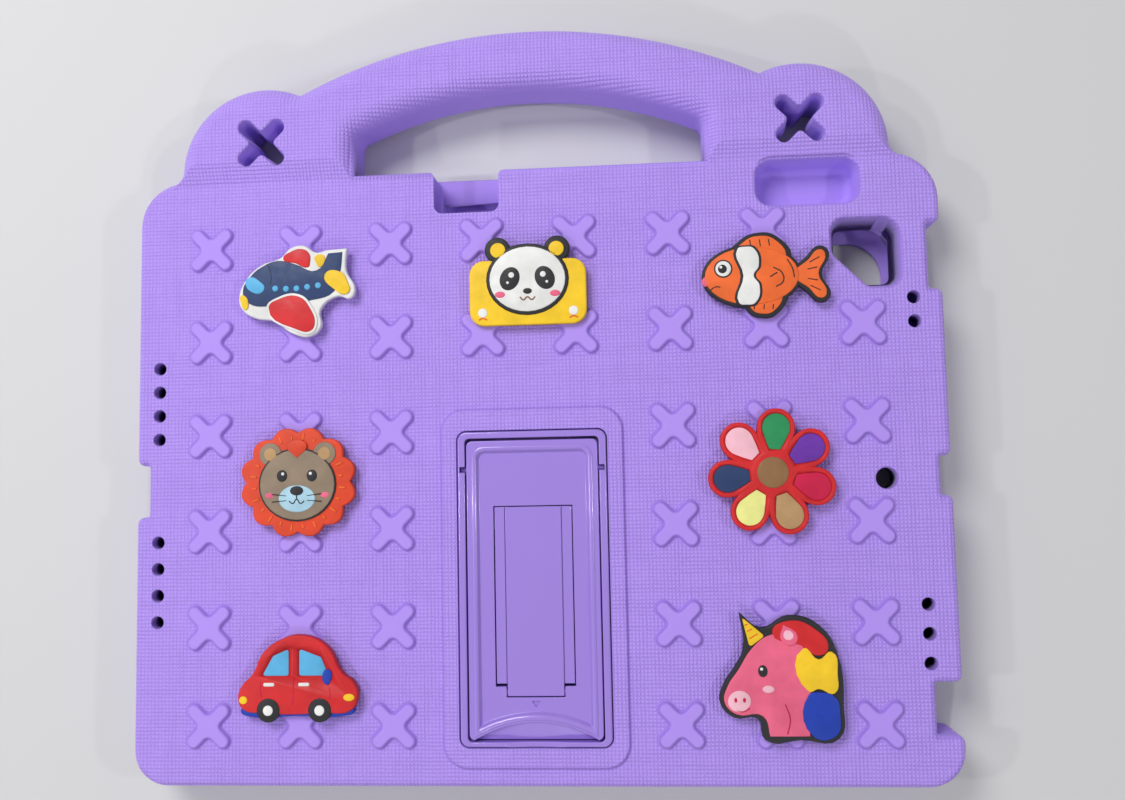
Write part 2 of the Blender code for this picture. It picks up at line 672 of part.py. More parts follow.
def leg_scoop():
    """A finger scoop at the free end: it slopes down to the end from a round upper edge."""
    middle = LEG_Y0 + SCOOP_RISE - SCOOP_RADIUS
    outline = ellipse(0, middle, SCOOP_RADIUS - SCOOP_RIDGE, SCOOP_RADIUS - SCOOP_RIDGE, 48)
    bm = prism(outline, LEG_FACE, LEG_TOP + PAST)
    slope = SCOOP_DEPTH / SCOOP_RISE
    for vert in bm.verts:
        if abs(vert.co.z - LEG_FACE) < TINY:
            vert.co.z = LEG_TOP + (vert.co.y - LEG_Y0 - SCOOP_RISE) * slope
    return bm


def leg_recess():
    """The sunk face inside the leg's rim, with an arched lower edge over the scoop."""
    x = LEG_X - LEG_RIM
    middle = LEG_Y0 + SCOOP_RISE - SCOOP_RADIUS
    spread = math.degrees(math.asin(x / SCOOP_RADIUS))
    arch = arc(0, middle, SCOOP_RADIUS, 90 + spread, 90 - spread, 12)
    top = box_outline(-x, 0, x, LEG_Y1 - LEG_RIM, LEG_CORNER, 3)[8:]
    return prism(arch + top, LEG_FACE, LEG_TOP + PAST)


def leg_arrow():
    y = LEG_Y0 + SCOOP_RISE + ARROW_SIZE
    half = ARROW_SIZE / 2
    return prism([(-half, y + half), (0, y - half), (half, y + half)], LEG_FACE - ARROW_DEPTH, LEG_FACE + PAST)


def heel_cut():
    """Bevels the heel so that it lies flat on the tray's floor, as a stop, when the leg is open."""
    angle = math.radians(LEG_OPEN)
    height = HINGE.z - FLOOR - GAP
    far = HEEL + PAST

    def line(y):
        return HINGE.z + (y * math.sin(angle) - height) / math.cos(angle)

    low = LEG_LOW - HEEL
    profile = [(HINGE.y, low), (HINGE.y + far, low), (HINGE.y + far, line(far)), (HINGE.y, line(0))]
    return beam(profile, -LEG_X - PAST, LEG_X + PAST)


def stand_leg(origin):
    outline = box_outline(-LEG_X, LEG_Y0, LEG_X, LEG_Y1, LEG_CORNER)
    bm = prism(outline, LEG_LOW, LEG_TOP)
    round_edges(bm, LEG_EDGE, 2, flat_at(LEG_TOP))
    leg = make_object("stand_leg", bm, origin)
    hinge_pins = pins(HINGE, PIN_RADIUS, LEG_X + PIN_LENGTH, LEG_X - PIN_LENGTH)
    combine(leg, "UNION", [hinge_pins], origin)
    pin_radius = PROP_PIN_RADIUS + PIN_FIT
    pin_reach = PROP_WIDTH / 2 + PROP_PIN_LENGTH + PIN_FIT
    holes = pins(PROP_AXIS, pin_radius, pin_reach, PROP_WIDTH / 2 - PROP_PIN_LENGTH)
    cuts = [leg_recess(), leg_scoop(), leg_arrow(), heel_cut(), prop_window(), holes]
    combine(leg, "DIFFERENCE", cuts, origin)
    set_origin(leg, HINGE, Vector((0, 0, 0)))
    finish(leg, *PURPLE_PLASTIC)
    return leg


def stand_prop(origin, leg):
    """The prop: a tongue with a thinner flange down each side and a round pin to each side at its hinge."""
    low = HINGE.z - PROP_THICKNESS / 2
    high = HINGE.z + PROP_THICKNESS / 2
    x0, x1, end, neck, tip = prop_lines(0, 0)
    bm = prism(rectangle(-x0, end, x0, tip), low, high)

    def hinge_end(edge):
        return flat_at(low, high)(edge) and all(abs(vert.co.y - end) < TINY for vert in edge.verts)

    round_edges(bm, PROP_ROUND, 2, hinge_end)
    prop = make_object("stand_prop", bm, origin)
    flange = prism(rectangle(-x1, neck, x1, tip), low, high - PROP_FLANGE_DROP)
    hinge_pins = pins(PROP_AXIS, PROP_PIN_RADIUS, PROP_WIDTH / 2 + PROP_PIN_LENGTH, PROP_WIDTH / 4)
    combine(prop, "UNION", [flange, hinge_pins], origin)
    set_origin(prop, PROP_AXIS, HINGE)
    prop.parent = leg
    finish(prop, *PURPLE_PLASTIC)


def scallops(across, up, depth, count, steps):
    """An oval edged with round scallops."""
    points = []
    total = count * steps
    for index in range(total):
        angle = 2 * math.pi * index / total
        swell = 1 - depth * (1 - abs(math.sin(count * angle / 2)))
        points.append((across * swell * math.cos(angle), up * swell * math.sin(angle)))
    return points


def petal(angle, inner, inner_half, outer, outer_half):
    """A petal along an angle in degrees: a narrow inner end and a round outer end."""
    shape = [(inner, -inner_half)] + arc(outer - outer_half, 0, outer_half, -80, 80, 6) + [(inner, inner_half)]
    turn = math.radians(angle)
    return [(x * math.cos(turn) - y * math.sin(turn), x * math.sin(turn) + y * math.cos(turn)) for x, y in shape]


def airplane_charm():
    base = smooth_loop(
        [(-20.8, -1.7), (-17.5, 5.6), (-12.4, 10.0), (-5.5, 12.3), (1.6, 15.8), (6.1, 13.4), (10.4, 13.2),
         (11.8, 14.6), (17.4, 14.6), (17.5, 7.0), (20.6, -0.2), (18.8, -3.0), (14.4, -2.2), (7.9, -7.0),
         (8.2, -12.0), (4.2, -15.8), (-2.0, -14.6), (-8.6, -9.9), (-15.0, -9.0), (-19.8, -5.0)], 2)
    body = smooth_loop(
        [(-19.2, 0.6), (-16.6, 5.8), (-12.1, 9.5), (-6.9, 11.2), (-1.0, 9.9), (6.9, 7.2), (11.2, 13.2),
         (15.8, 13.2), (15.3, 7.0), (13.0, -0.5), (4.5, -3.4), (-10.1, -5.0), (-16.8, -3.4)], 2)
    wing = smooth_loop([(-10.2, -5.5), (-6.0, -2.1), (0.7, -1.4), (4.8, -5.5), (6.3, -12.0), (0.6, -13.9)], 3)
    tail = smooth_loop([(9.8, 5.0), (15.2, 6.0), (18.5, -0.2), (15.6, -1.6)], 3)
    return [(base, 0), (body, 1), (tail, 2), (wing, 2)]


def panda_charm():
    block = box_outline(-20, -14, 20, 8.5, 5)
    head = ellipse(0, 1.6, 14.2, 12.4, 24)
    ears = [ellipse(x, 12, 4.4, 4.4, 12) for x in (-10.2, 10.2)]
    patches = [ellipse(x, 1.8, 3.2, 3.9, 12) for x in (-6, 6)]
    nose = ellipse(0, -3.2, 1.8, 1.2, 8)
    return [(block, 0)] + [(ear, 0.5) for ear in ears] + [(head, 1)] + [(shape, 2) for shape in patches + [nose]]


def fish_charm():
    tail = smooth_loop([(8.5, 0), (17.5, 9.6), (21.3, 7.2), (19.0, 0), (21.3, -7.2), (17.5, -9.6)], 3)
    top_fin = smooth_loop([(-11, 7), (-5, 14.6), (4, 13.4), (8, 5), (-2, 4)], 3)
    low_fin = smooth_loop([(-7, -6), (-4, -14.2), (3, -13.4), (6, -5)], 3)
    body = ellipse(-4.6, 0, 16.6, 10.6, 28)
    band = smooth_loop([(-9.5, 9.0), (-6.4, 9.6), (-4.6, 0), (-6.4, -9.6), (-9.5, -9.0), (-7.9, 0)], 3)
    eye = ellipse(-14, 2.6, 2.3, 2.3, 10)
    return [(tail, 0), (top_fin, 0), (low_fin, 0), (body, 1), (band, 2), (eye, 2)]


def lion_charm():
    mane = scallops(20.5, 19, 0.13, 12, 4)
    face = ellipse(0, -0.8, 13, 12, 24)
    ears = [ellipse(x, 9.6, 3.8, 3.8, 12) for x in (-9.4, 9.4)]
    muzzle = ellipse(0, -5.6, 6.4, 4.6, 14)
    eyes = [ellipse(x, 1.6, 1.2, 1.5, 8) for x in (-5, 5)]
    return [(mane, 0)] + [(ear, 0.5) for ear in ears] + [(face, 1)] + [(shape, 2) for shape in [muzzle] + eyes]


def flower_charm():
    petals = [petal(84 + 360 * index / 7, 4, 3.4, 21, 6.3) for index in range(7)]
    fields = [petal(84 + 360 * index / 7, 7.2, 2.4, 19.3, 4.7) for index in range(7)]
    centre = ellipse(0, 0, 6.9, 6.9, 21)
    button = ellipse(0, 0, 5.2, 5.2, 21)
    return [(centre, 0.5)] + [(shape, 0.4) for shape in petals] + [(shape, -1) for shape in fields] + [(button, 1)]


def car_charm():
    body = smooth_loop(
        [(-20.4, -6.3), (-18.1, -1.5), (-15.6, 1.2), (-11.8, 8.5), (-5.2, 13.2), (1.9, 14.4), (10.7, 10.4),
         (15.4, 1.8), (19.4, -0.8), (20.6, -6.0), (18.4, -10.4), (10.0, -12.4), (-14.0, -12.6), (-19.0, -10.2)], 2)
    rear = rounded([(-13.3, 0.2), (-2.6, 0.2), (-2.6, 9.8), (-7.0, 8.4)], [0.4] * 4, 2)
    front = rounded([(0.4, 0.2), (9.8, 0.2), (6.4, 6.8), (0.4, 9.8)], [0.4] * 4, 2)
    wheels = [ellipse(x, -10.4, 4.0, 4.0, 16) for x in (-9.8, 7.8)]
    lamps = [ellipse(-18.2, -7.1, 1.3, 1.2, 8), ellipse(17.2, -6.2, 1.9, 1.1, 8)]
    return [(body, 1), (rear, -1), (front, -1)] + [(shape, 2) for shape in wheels + lamps]


def unicorn_charm():
    back = smooth_loop(
        [(-19.6, -8.0), (-15.4, 1.6), (-11.2, 8.8), (-12.0, 20.6), (-5.6, 15.2), (3.4, 19.4), (14.0, 15.4),
         (19.2, 3.6), (19.8, -10.0), (17.6, -20.4), (-5.6, -20.6), (-7.6, -13.6), (-15.4, -13.4)], 2)
    head = smooth_loop(
        [(-18.0, -7.6), (-14.0, 1.2), (-9.0, 8.4), (-2.0, 12.4), (5.0, 9.4), (8.0, 0), (8.6, -19.0), (-3.8, -19.0),
         (-6.2, -12.0), (-14.6, -12.0)], 2)
    horn = [(-9.2, 9.4), (-4.2, 12.6), (-11.4, 19.2)]
    locks = [
        smooth_loop([(-1.4, 13.6), (3.4, 17.8), (11.4, 15.0), (14.6, 8.6), (8.4, 7.4)], 2),
        smooth_loop([(9.0, 6.8), (14.8, 7.6), (17.8, 0.4), (17.8, -5.0), (9.6, -4.8)], 2),
        smooth_loop([(9.8, -5.8), (17.8, -6.2), (18.2, -12.0), (16.6, -18.8), (10.0, -18.8)], 2),
    ]
    return [(back, 0), (head, 1), (horn, 1.5)] + [(shape, 2) for shape in locks]


CHARMS = (
    ("charm_airplane", airplane_charm, -1, 1, (0.88, 0.88, 0.88)),
    ("charm_panda", panda_charm, 0, 1, (0.95, 0.72, 0.08)),
    ("charm_fish", fish_charm, 1, 1, (0.90, 0.28, 0.05)),
    ("charm_lion", lion_charm, -1, 0, (0.78, 0.12, 0.05)),
    ("charm_flower", flower_charm, 1, 0, (0.62, 0.04, 0.05)),
    ("charm_car", car_charm, -1, -1, (0.60, 0.03, 0.04)),
    ("charm_unicorn", unicorn_charm, 1, -1, (0.80, 0.20, 0.30)),
)


def charm(name, design, column, row, colour, origin):
    """A moulded charm. Each shape of its design has a level: raised steps above the base, or -1 for a sunk field."""
    x, y = charm_place(column, row)

    def place(outline):
        return [(x + px * MM, y + py * MM) for px, py in outline]

    def top_of(level):
        return CHARM_SEAT + (CHARM_BASE + CHARM_FIELD * level) * MM

    raised = [(outline, level) for outline, level in design() if level >= 0]
    sunk = [outline for outline, level in design() if level < 0]
    first_outline, first_level = raised[0]
    first = prism(place(first_outline), CHARM_SEAT, top_of(first_level))
    obj = make_object(name, first, origin)
    others = [prism(place(outline), CHARM_SEAT, top_of(level)) for outline, level in raised[1:]]
    post = prism(ellipse(x, y, POST_RADIUS, POST_RADIUS, 12), POCKET_BACK + GAP, CHARM_SEAT + CHARM_BASE * MM / 2)
    head = prism(
        ellipse(x, y, POST_HEAD_RADIUS, POST_HEAD_RADIUS, 12), POCKET_BACK + GAP, POCKET_BACK + GAP + POST_HEAD
    )
    combine(obj, "UNION", others + [post, head], origin)
    if sunk:
        cuts = [prism(place(outline), top_of(0) - CHARM_FIELD * MM / 2, top_of(4)) for outline in sunk]
        combine(obj, "DIFFERENCE", cuts, origin)
    finish(obj, colour, CHARM_ROUGHNESS)


def main():
    for obj in list(bpy.data.objects):
        bpy.data.objects.remove(obj, do_unlink=True)
    origin = bpy.data.objects.new("case_origin", None)
    origin.location = (0, -MIDDLE_Y, 0)
    bpy.context.scene.collection.objects.link(origin)
    foam_frame(origin)
    foam_back(origin, [charm_place(column, row) for _, _, column, row, _ in CHARMS])
    foam_grip(origin)
    stand_tray(origin)
    leg = stand_leg(origin)
    stand_prop(origin, leg)
    for name, design, column, row, colour in CHARMS:
        charm(name, design, column, row, colour, origin)


main()
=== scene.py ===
# %% [markdown]
# # A foam tablet case for children
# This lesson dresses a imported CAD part. The CAD gives the sizes, the joints and the collision; here each
# piece gets the soft edges, the skin and the colours that the real case has. Shapes are drawn in
# millimetres, measured from the middle of the tablet, and are scaled to metres and moved to their place
# when a piece is finished.

# %% Load the frame
import math
import time

import bmesh
import bpy
from mathutils import Matrix, Vector


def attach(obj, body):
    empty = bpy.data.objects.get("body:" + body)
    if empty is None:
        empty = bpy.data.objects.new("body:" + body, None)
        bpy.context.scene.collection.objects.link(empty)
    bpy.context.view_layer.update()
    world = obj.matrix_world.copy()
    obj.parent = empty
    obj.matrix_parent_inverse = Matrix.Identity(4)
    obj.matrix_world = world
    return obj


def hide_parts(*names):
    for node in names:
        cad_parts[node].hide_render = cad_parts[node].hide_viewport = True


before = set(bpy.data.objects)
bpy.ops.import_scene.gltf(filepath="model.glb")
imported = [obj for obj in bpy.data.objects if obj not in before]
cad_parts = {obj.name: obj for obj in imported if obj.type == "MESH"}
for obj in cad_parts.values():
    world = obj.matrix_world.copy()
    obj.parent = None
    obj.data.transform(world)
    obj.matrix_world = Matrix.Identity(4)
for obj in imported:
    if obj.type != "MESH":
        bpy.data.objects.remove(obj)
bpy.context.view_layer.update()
MM = 0.001
TABLET_Y = -29.85  # the middle of the tablet, in the case's own frame

# %% [markdown]
# ## The camera
# The photograph was taken by hand from about 36 cm above the case, with a slight tilt. A camera's turn
# can be given as Euler angles, as a quaternion or as one axis with an angle. The last is used here: the
# vector points along the axis and its length is the angle, so a small tilt is three small numbers.

# %% Camera
CAMERA_PLACE = Vector((0.03628, -0.02801, 0.35785))
CAMERA_TILT = Vector((-0.0780305654, -0.0759018831, 0.0233363917))
CAMERA_LENS = 32

scene = bpy.context.scene
camera = bpy.data.objects.new("camera", bpy.data.cameras.new("camera"))
camera.data.lens = CAMERA_LENS
camera.data.sensor_width = 36
camera.data.clip_start = 0.01
tilt = Matrix.Rotation(CAMERA_TILT.length, 4, CAMERA_TILT.normalized())
camera.matrix_world = Matrix.Translation(CAMERA_PLACE) @ tilt.inverted()
scene.collection.objects.link(camera)
scene.camera = camera
print("camera at", tuple(round(value, 3) for value in camera.location))

# %% [markdown]
# ## Light and floor
# Product pictures use large, soft lamps, so that edges show as gentle gradients. The world gives the even
# part of the light. One big lamp stands beyond the handle, which is where the photograph's highlights
# come from, and a weaker one fills from the lower left. Three small ones draw fine bright lines on the
# glossy stand.

# %% Light and floor
WORLD_LIGHT = 0.30
BACKGROUND = 0.85
FLOOR_COLOUR = (0.60, 0.60, 0.61)
FLOOR_ROUGHNESS = 0.9
# name, place, the point it is aimed at, size and watts
LAMPS = (
    ("key", (-0.35, 0.50, 0.75), (0, 0, 0), 0.45, 5.7),
    ("fill", (-0.6, -0.5, 0.6), (0, 0, 0), 0.6, 0.9),
    ("lower glint", (0.05, -0.66, 0.60), (0, -0.05, 0), 0.05, 1.0),
    ("right glint", (0.62, -0.05, 0.60), (0, -0.05, 0), 0.05, 1.0),
    ("left glint", (-0.58, -0.05, 0.60), (0, -0.05, 0), 0.05, 1.0),
)


def soft_lamp(name, place, aim, size, watts):
    data = bpy.data.lights.new(name, "AREA")
    data.shape = "DISK"
    data.size = size
    data.energy = watts
    lamp = bpy.data.objects.new(name, data)
    lamp.location = place
    lamp.rotation_euler = (Vector(aim) - Vector(place)).to_track_quat("-Z", "Y").to_euler()
    scene.collection.objects.link(lamp)


def lighten_for_camera(world):
    """Shows a pale background to the camera and to glossy and clear surfaces. The light stays as it is."""
    tree = world.node_tree
    background = tree.nodes["Background"]
    paths = tree.nodes.new("ShaderNodeLightPath")
    seen = paths.outputs["Is Camera Ray"]
    for name in ("Is Glossy Ray", "Is Transmission Ray"):
        add = tree.nodes.new("ShaderNodeMath")
        add.operation = "MAXIMUM"
        tree.links.new(seen, add.inputs[0])
        tree.links.new(paths.outputs[name], add.inputs[1])
        seen = add.outputs[0]
    level = tree.nodes.new("ShaderNodeMapRange")
    level.inputs["To Min"].default_value = WORLD_LIGHT
    level.inputs["To Max"].default_value = BACKGROUND
    tree.links.new(seen, level.inputs["Value"])
    tree.links.new(level.outputs[0], background.inputs["Strength"])


world = bpy.data.worlds.new("studio")
world.use_nodes = True
world.node_tree.nodes["Background"].inputs["Color"].default_value = (1, 1, 1, 1)
lighten_for_camera(world)
scene.world = world
for lamp_row in LAMPS:
    soft_lamp(*lamp_row)

floor_shape = bmesh.new()
bmesh.ops.create_grid(floor_shape, x_segments=1, y_segments=1, size=3)
bmesh.ops.translate(floor_shape, verts=floor_shape.verts, vec=(0, 0, -0.0002))
floor_mesh = bpy.data.meshes.new("floor")
floor_shape.to_mesh(floor_mesh)
floor_shape.free()
floor = bpy.data.objects.new("floor", floor_mesh)
scene.collection.objects.link(floor)
floor_finish = bpy.data.materials.new("floor")
floor_finish.use_nodes = True
floor_shader = floor_finish.node_tree.nodes["Principled BSDF"]
floor_shader.inputs["Base Color"].default_value = (*FLOOR_COLOUR, 1)
floor_shader.inputs["Roughness"].default_value = FLOOR_ROUGHNESS
floor_mesh.materials.append(floor_finish)
scene.view_settings.view_transform = "Standard"

# %% [markdown]
# ## Drawing with operators
# Most moulded parts are a flat outline that grows upwards with soft steps. An outline could be typed as a
# long list of points, but a few corners and a vertex bevel say the same thing with its real radius.
# `flat_shape` makes that face. `build` then turns it into a solid: each step of a profile insets the free
# face and moves it on, so a fillet is a row of small insets. The same solid is a raised form when it is
# joined, and a soft-edged hole when it is cut.


# %% Outline and solid helpers
def shift(bm, x, y, z):
    bmesh.ops.translate(bm, verts=bm.verts, vec=(x, y, z))


def turn_flat(bm, degrees):
    bmesh.ops.rotate(bm, verts=bm.verts, matrix=Matrix.Rotation(math.radians(degrees), 3, "Z"))


def soften(bm, geom, offset, segments, affect="EDGES", clamp=False):
    """Rounds edges of a solid, or corners of a flat shape, with a bevel of a round profile."""
    sizes = {"offset": offset, "segments": segments, "profile": 0.5}
    bmesh.ops.bevel(bm, geom=geom, affect=affect, material=-1, clamp_overlap=clamp, **sizes)


def cut_off(bm, place, way):
    """Cuts off what lies beyond a plane and closes the cut."""
    everything = bm.verts[:] + bm.edges[:] + bm.faces[:]
    bmesh.ops.bisect_plane(bm, geom=everything, plane_co=place, plane_no=way, clear_outer=True)
    bmesh.ops.holes_fill(bm, edges=[edge for edge in bm.edges if edge.is_boundary], sides=0)


def flat_shape(corners, radii, z=0.0, steps=6):
    """One flat face through a few corners, anticlockwise, with each corner rounded by a vertex bevel."""
    bm = bmesh.new()
    verts = [bm.verts.new((x, y, z)) for x, y in corners]
    bm.faces.new(verts)
    for index, radius in enumerate(radii):
        if radius:
            here = Vector(corners[index])
            before = Vector(corners[index - 1]) - here
            after = Vector(corners[(index + 1) % len(corners)]) - here
            soften(bm, [verts[index]], radius / math.tan(before.angle(after) / 2), steps, "VERTICES")
    return bm


def flat_box(x0, y0, x1, y1, radius, z=0.0, steps=6):
    return flat_shape([(x0, y0), (x1, y0), (x1, y1), (x0, y1)], [radius] * 4, z, steps)


def disc(x, y, radius, z=0.0, steps=24):
    bm = bmesh.new()
    place = Matrix.Translation((x, y, z))
    bmesh.ops.create_circle(bm, cap_ends=True, segments=steps, radius=radius, matrix=place)
    return bm


def flat_cross(x, y, reach, arm, inner, z=0.0):
    """A diagonal cross: a square with its sides drawn out into arms, made one face with round corners."""
    bm = bmesh.new()
    bmesh.ops.create_grid(bm, x_segments=1, y_segments=1, size=arm)
    inner_corners = set(bm.verts)
    for edge in bm.edges[:]:
        middle = (edge.verts[0].co + edge.verts[1].co) / 2
        made = bmesh.ops.extrude_edge_only(bm, edges=[edge])["geom"]
        ends = [item for item in made if isinstance(item, bmesh.types.BMVert)]
        bmesh.ops.translate(bm, verts=ends, vec=middle.normalized() * reach)
    bmesh.ops.dissolve_faces(bm, faces=bm.faces[:])
    tips = [vert for vert in bm.verts if vert not in inner_corners]
    soften(bm, tips, arm * 0.97, 5, "VERTICES")
    bmesh.ops.remove_doubles(bm, verts=bm.verts, dist=arm * 0.07)
    soften(bm, [vert for vert in inner_corners if vert.is_valid], inner, 5, "VERTICES")
    turn_flat(bm, 45)
    shift(bm, x, y, z)
    return bm


def build(bm, profile, downwards=False):
    """Makes a flat face solid. Each step of the profile insets the free face and then moves it on."""
    bm.normal_update()
    face = bm.faces[:][0]
    if (face.normal.z < 0) != downwards:
        bmesh.ops.reverse_faces(bm, faces=[face])
    way = Vector((0, 0, -1 if downwards else 1))
    for number, (inset, move) in enumerate(profile):
        if inset:
            bmesh.ops.inset_region(bm, faces=[face], thickness=inset, depth=0, use_even_offset=True)
        else:
            made = bmesh.ops.extrude_face_region(bm, geom=[face])["geom"]
            if number:
                bmesh.ops.delete(bm, geom=[face], context="FACES_ONLY")
            face = next(item for item in made if isinstance(item, bmesh.types.BMFace))
        bmesh.ops.translate(bm, verts=face.verts[:], vec=way * move)
    return bm


def gathered(shapes):
    """Several separate solids as one mesh, which a Boolean takes in one step."""
    whole = bmesh.new()
    for bm in shapes:
        mesh = bpy.data.meshes.new("gathered")
        bm.to_mesh(mesh)
        bm.free()
        whole.from_mesh(mesh)
        bpy.data.meshes.remove(mesh)
    return whole


def soft_step(height, foot, head, slope=90.0, steps=4):
    """A profile for `build`: a bend at the foot, a straight wall at a slope, and a bend at the head."""
    angle = math.radians(slope)
    straight = height - (foot + head) * (1 - math.cos(angle))
    bends = [angle * step / steps for step in range(steps + 1)]
    profile = []
    for a, b in zip(bends, bends[1:]):
        profile.append((foot * (math.sin(b) - math.sin(a)), foot * (math.cos(a) - math.cos(b))))
    if straight > 0.001:
        profile.append((straight / math.tan(angle) if slope < 90 else 0, straight))
    for b, a in reversed(list(zip(bends, bends[1:]))):
        profile.append((head * (math.sin(a) - math.sin(b)), head * (math.cos(b) - math.cos(a))))
    return [step for step in profile if step != (0, 0)]


def inset_of(profile):
    return sum(inset for inset, _ in profile)


def object_of(name, bm, collection):
    """Hands a shape over to a new object, with its normals outwards."""
    bmesh.ops.recalc_face_normals(bm, faces=bm.faces[:])
    mesh = bpy.data.meshes.new(name)
    bm.to_mesh(mesh)
    bm.free()
    obj = bpy.data.objects.new(name, mesh)
    collection.objects.link(obj)
    return obj


def carve(bm, operation, helpers):
    """Joins helper solids to a solid, or cuts them from it, with one Boolean modifier."""
    group = bpy.data.collections.new("helpers")
    scene.collection.children.link(group)
    target = object_of("carved", bm, scene.collection)
    made = [object_of("helper", helper, group) for helper in helpers]
    modifier = target.modifiers.new(operation.lower(), "BOOLEAN")
    modifier.operation = operation
    modifier.solver = "EXACT"
    modifier.operand_type = "COLLECTION"
    modifier.collection = group
    bpy.context.view_layer.update()
    result = bmesh.new()
    result.from_object(target, bpy.context.evaluated_depsgraph_get())
    for obj in [target] + made:
        mesh = obj.data
        bpy.data.objects.remove(obj)
        bpy.data.meshes.remove(mesh)
    bpy.data.collections.remove(group)
    return result


def finish_piece(name, bm, body, materials, replaces=()):
    """Scales a shape to metres, puts it in its place, and hands it to the frame."""
    shift(bm, 0, TABLET_Y, 0)
    bmesh.ops.scale(bm, verts=bm.verts, vec=(MM, MM, MM))
    piece = object_of(name, bm, scene.collection)
    mesh = piece.data
    mesh.shade_smooth()
    for material in materials:
        mesh.materials.append(material)
    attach(piece, body)
    if replaces:
        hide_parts(*replaces)
    print(name, len(mesh.polygons), "faces")
    return piece


# %% [markdown]
# ## The foam slab
# The body of the case is one moulded slab of foam. The side notches for the buttons and ports run through
# its whole thickness, so they are drawn as corners of its outline, and one bevel then rounds the outer
# edge and the notches together. Cutting them later would leave sharp rims on a curved edge, which is hard
# to soften.

# %% Slab
SIDE = 139.0
BOTTOM = -99.9
TOP = 110.1
BACK = 20.0
LOWER_CORNER = 12
UPPER_CORNER = 16
BODY_EDGE = 2.4
NOTCH_CORNER = 1.0
# side of the case, middle, length of the notch, its depth, length of the hole behind it
SIDE_NOTCHES = (
    (1, -74.9, 17.0, 8.7, 9.0),
    (1, 0.6, 12.9, 3.7, 8.0),
    (1, 74.2, 22.3, 4.4, 14.0),
    (-1, 0.3, 17.9, 4.3, 12.0),
)


def notch_corners(side, middle, length, depth):
    """The four corners of a side notch, going anticlockwise round the slab."""
    y0, y1 = middle - side * length / 2, middle + side * length / 2
    outer, inner = side * SIDE, side * (SIDE - depth)
    return [(outer, y0), (inner, y0), (inner, y1), (outer, y1)]


def slab():
    corners = [(-SIDE, BOTTOM), (SIDE, BOTTOM)]
    radii = [LOWER_CORNER, LOWER_CORNER]
    for way in (1, -1):
        for side, middle, length, depth, _ in SIDE_NOTCHES:
            if side == way:
                corners += notch_corners(side, middle, length, depth)
                radii += [0, NOTCH_CORNER, NOTCH_CORNER, 0]
        if way == 1:
            corners += [(SIDE, TOP), (-SIDE, TOP)]
            radii += [UPPER_CORNER, UPPER_CORNER]
    mouths = [corner for corner, radius in zip(corners, radii) if radius == 0]
    bm = build(flat_shape(corners, radii, steps=9), [(0, BACK)])

    def at_mouth(vert):
        return any((vert.co.xy - Vector(mouth)).length < 0.01 for mouth in mouths)

    level = [edge for edge in bm.edges if abs(edge.verts[0].co.z - edge.verts[1].co.z) < 0.01]
    upright = [edge for edge in bm.edges if edge not in level and at_mouth(edge.verts[0])]
    soften(bm, level + upright, BODY_EDGE, 5)
    return bm


# %% [markdown]
# ## Ears and handle
# Two round ears and an arched handle rise 3 mm above the back as one padded form. Their outline is made
# of true arcs, so a vertex is spun about each arc's centre, and the arcs are joined to one loop and
# filled. A wide bevel gives the pillow shape that a hand feels. A bevel can't run out over the slab, so
# the outline is drawn on below and cut off by a sloped plane, which leaves a soft step across the foot of
# the ears.

# %% Ears and handle
GRIP_BACK = 23.0
GRIP_EDGE = 7.0
GRIP_FOOT = TOP - 2.5
GRIP_FOOT_SLOPE = 21.0
GRIP_FOOT_EDGE = 5.0
EAR_FILLET = 5.0
GRIP_LEGS = 14.0  # how far the outline is drawn on below the foot, before it is cut off there
EAR = Vector((93.6, 112.9))
EAR_RADIUS = 30.3
EAR_MEETS_HANDLE = 114.8
HANDLE_TOP = 159.6
HANDLE_SIZE = 21.6
HANDLE_SAG = 13.5
GAP_X = EAR.x - 32.6
GAP_CORNER = 4.0
SUNK = 0.03  # how far a form starts inside the one that it joins


def spun_arc(bm, centre, radius, start, end, steps):
    """An arc of edges, made by spinning one vertex. Gives back its two ends."""
    angle = math.radians(start)
    first = bm.verts.new((centre[0] + radius * math.cos(angle), centre[1] + radius * math.sin(angle), 0))
    spun = bmesh.ops.spin(
        bm, geom=[first], cent=(*centre, 0), axis=(0, 0, 1), angle=math.radians(end - start), steps=steps
    )
    return first, spun["geom_last"][0]


def degrees_of(vector):
    return math.degrees(math.atan2(vector.y, vector.x)) % 360


def circles_meet(first, first_radius, second, second_radius):
    """The outer one of the two points where two circles meet."""
    way = second - first
    along = (first_radius**2 - second_radius**2 + way.length**2) / (2 * way.length)
    aside = math.sqrt(first_radius**2 - along**2)
    way.normalize()
    return first + way * along + Vector((-way.y, way.x)) * aside


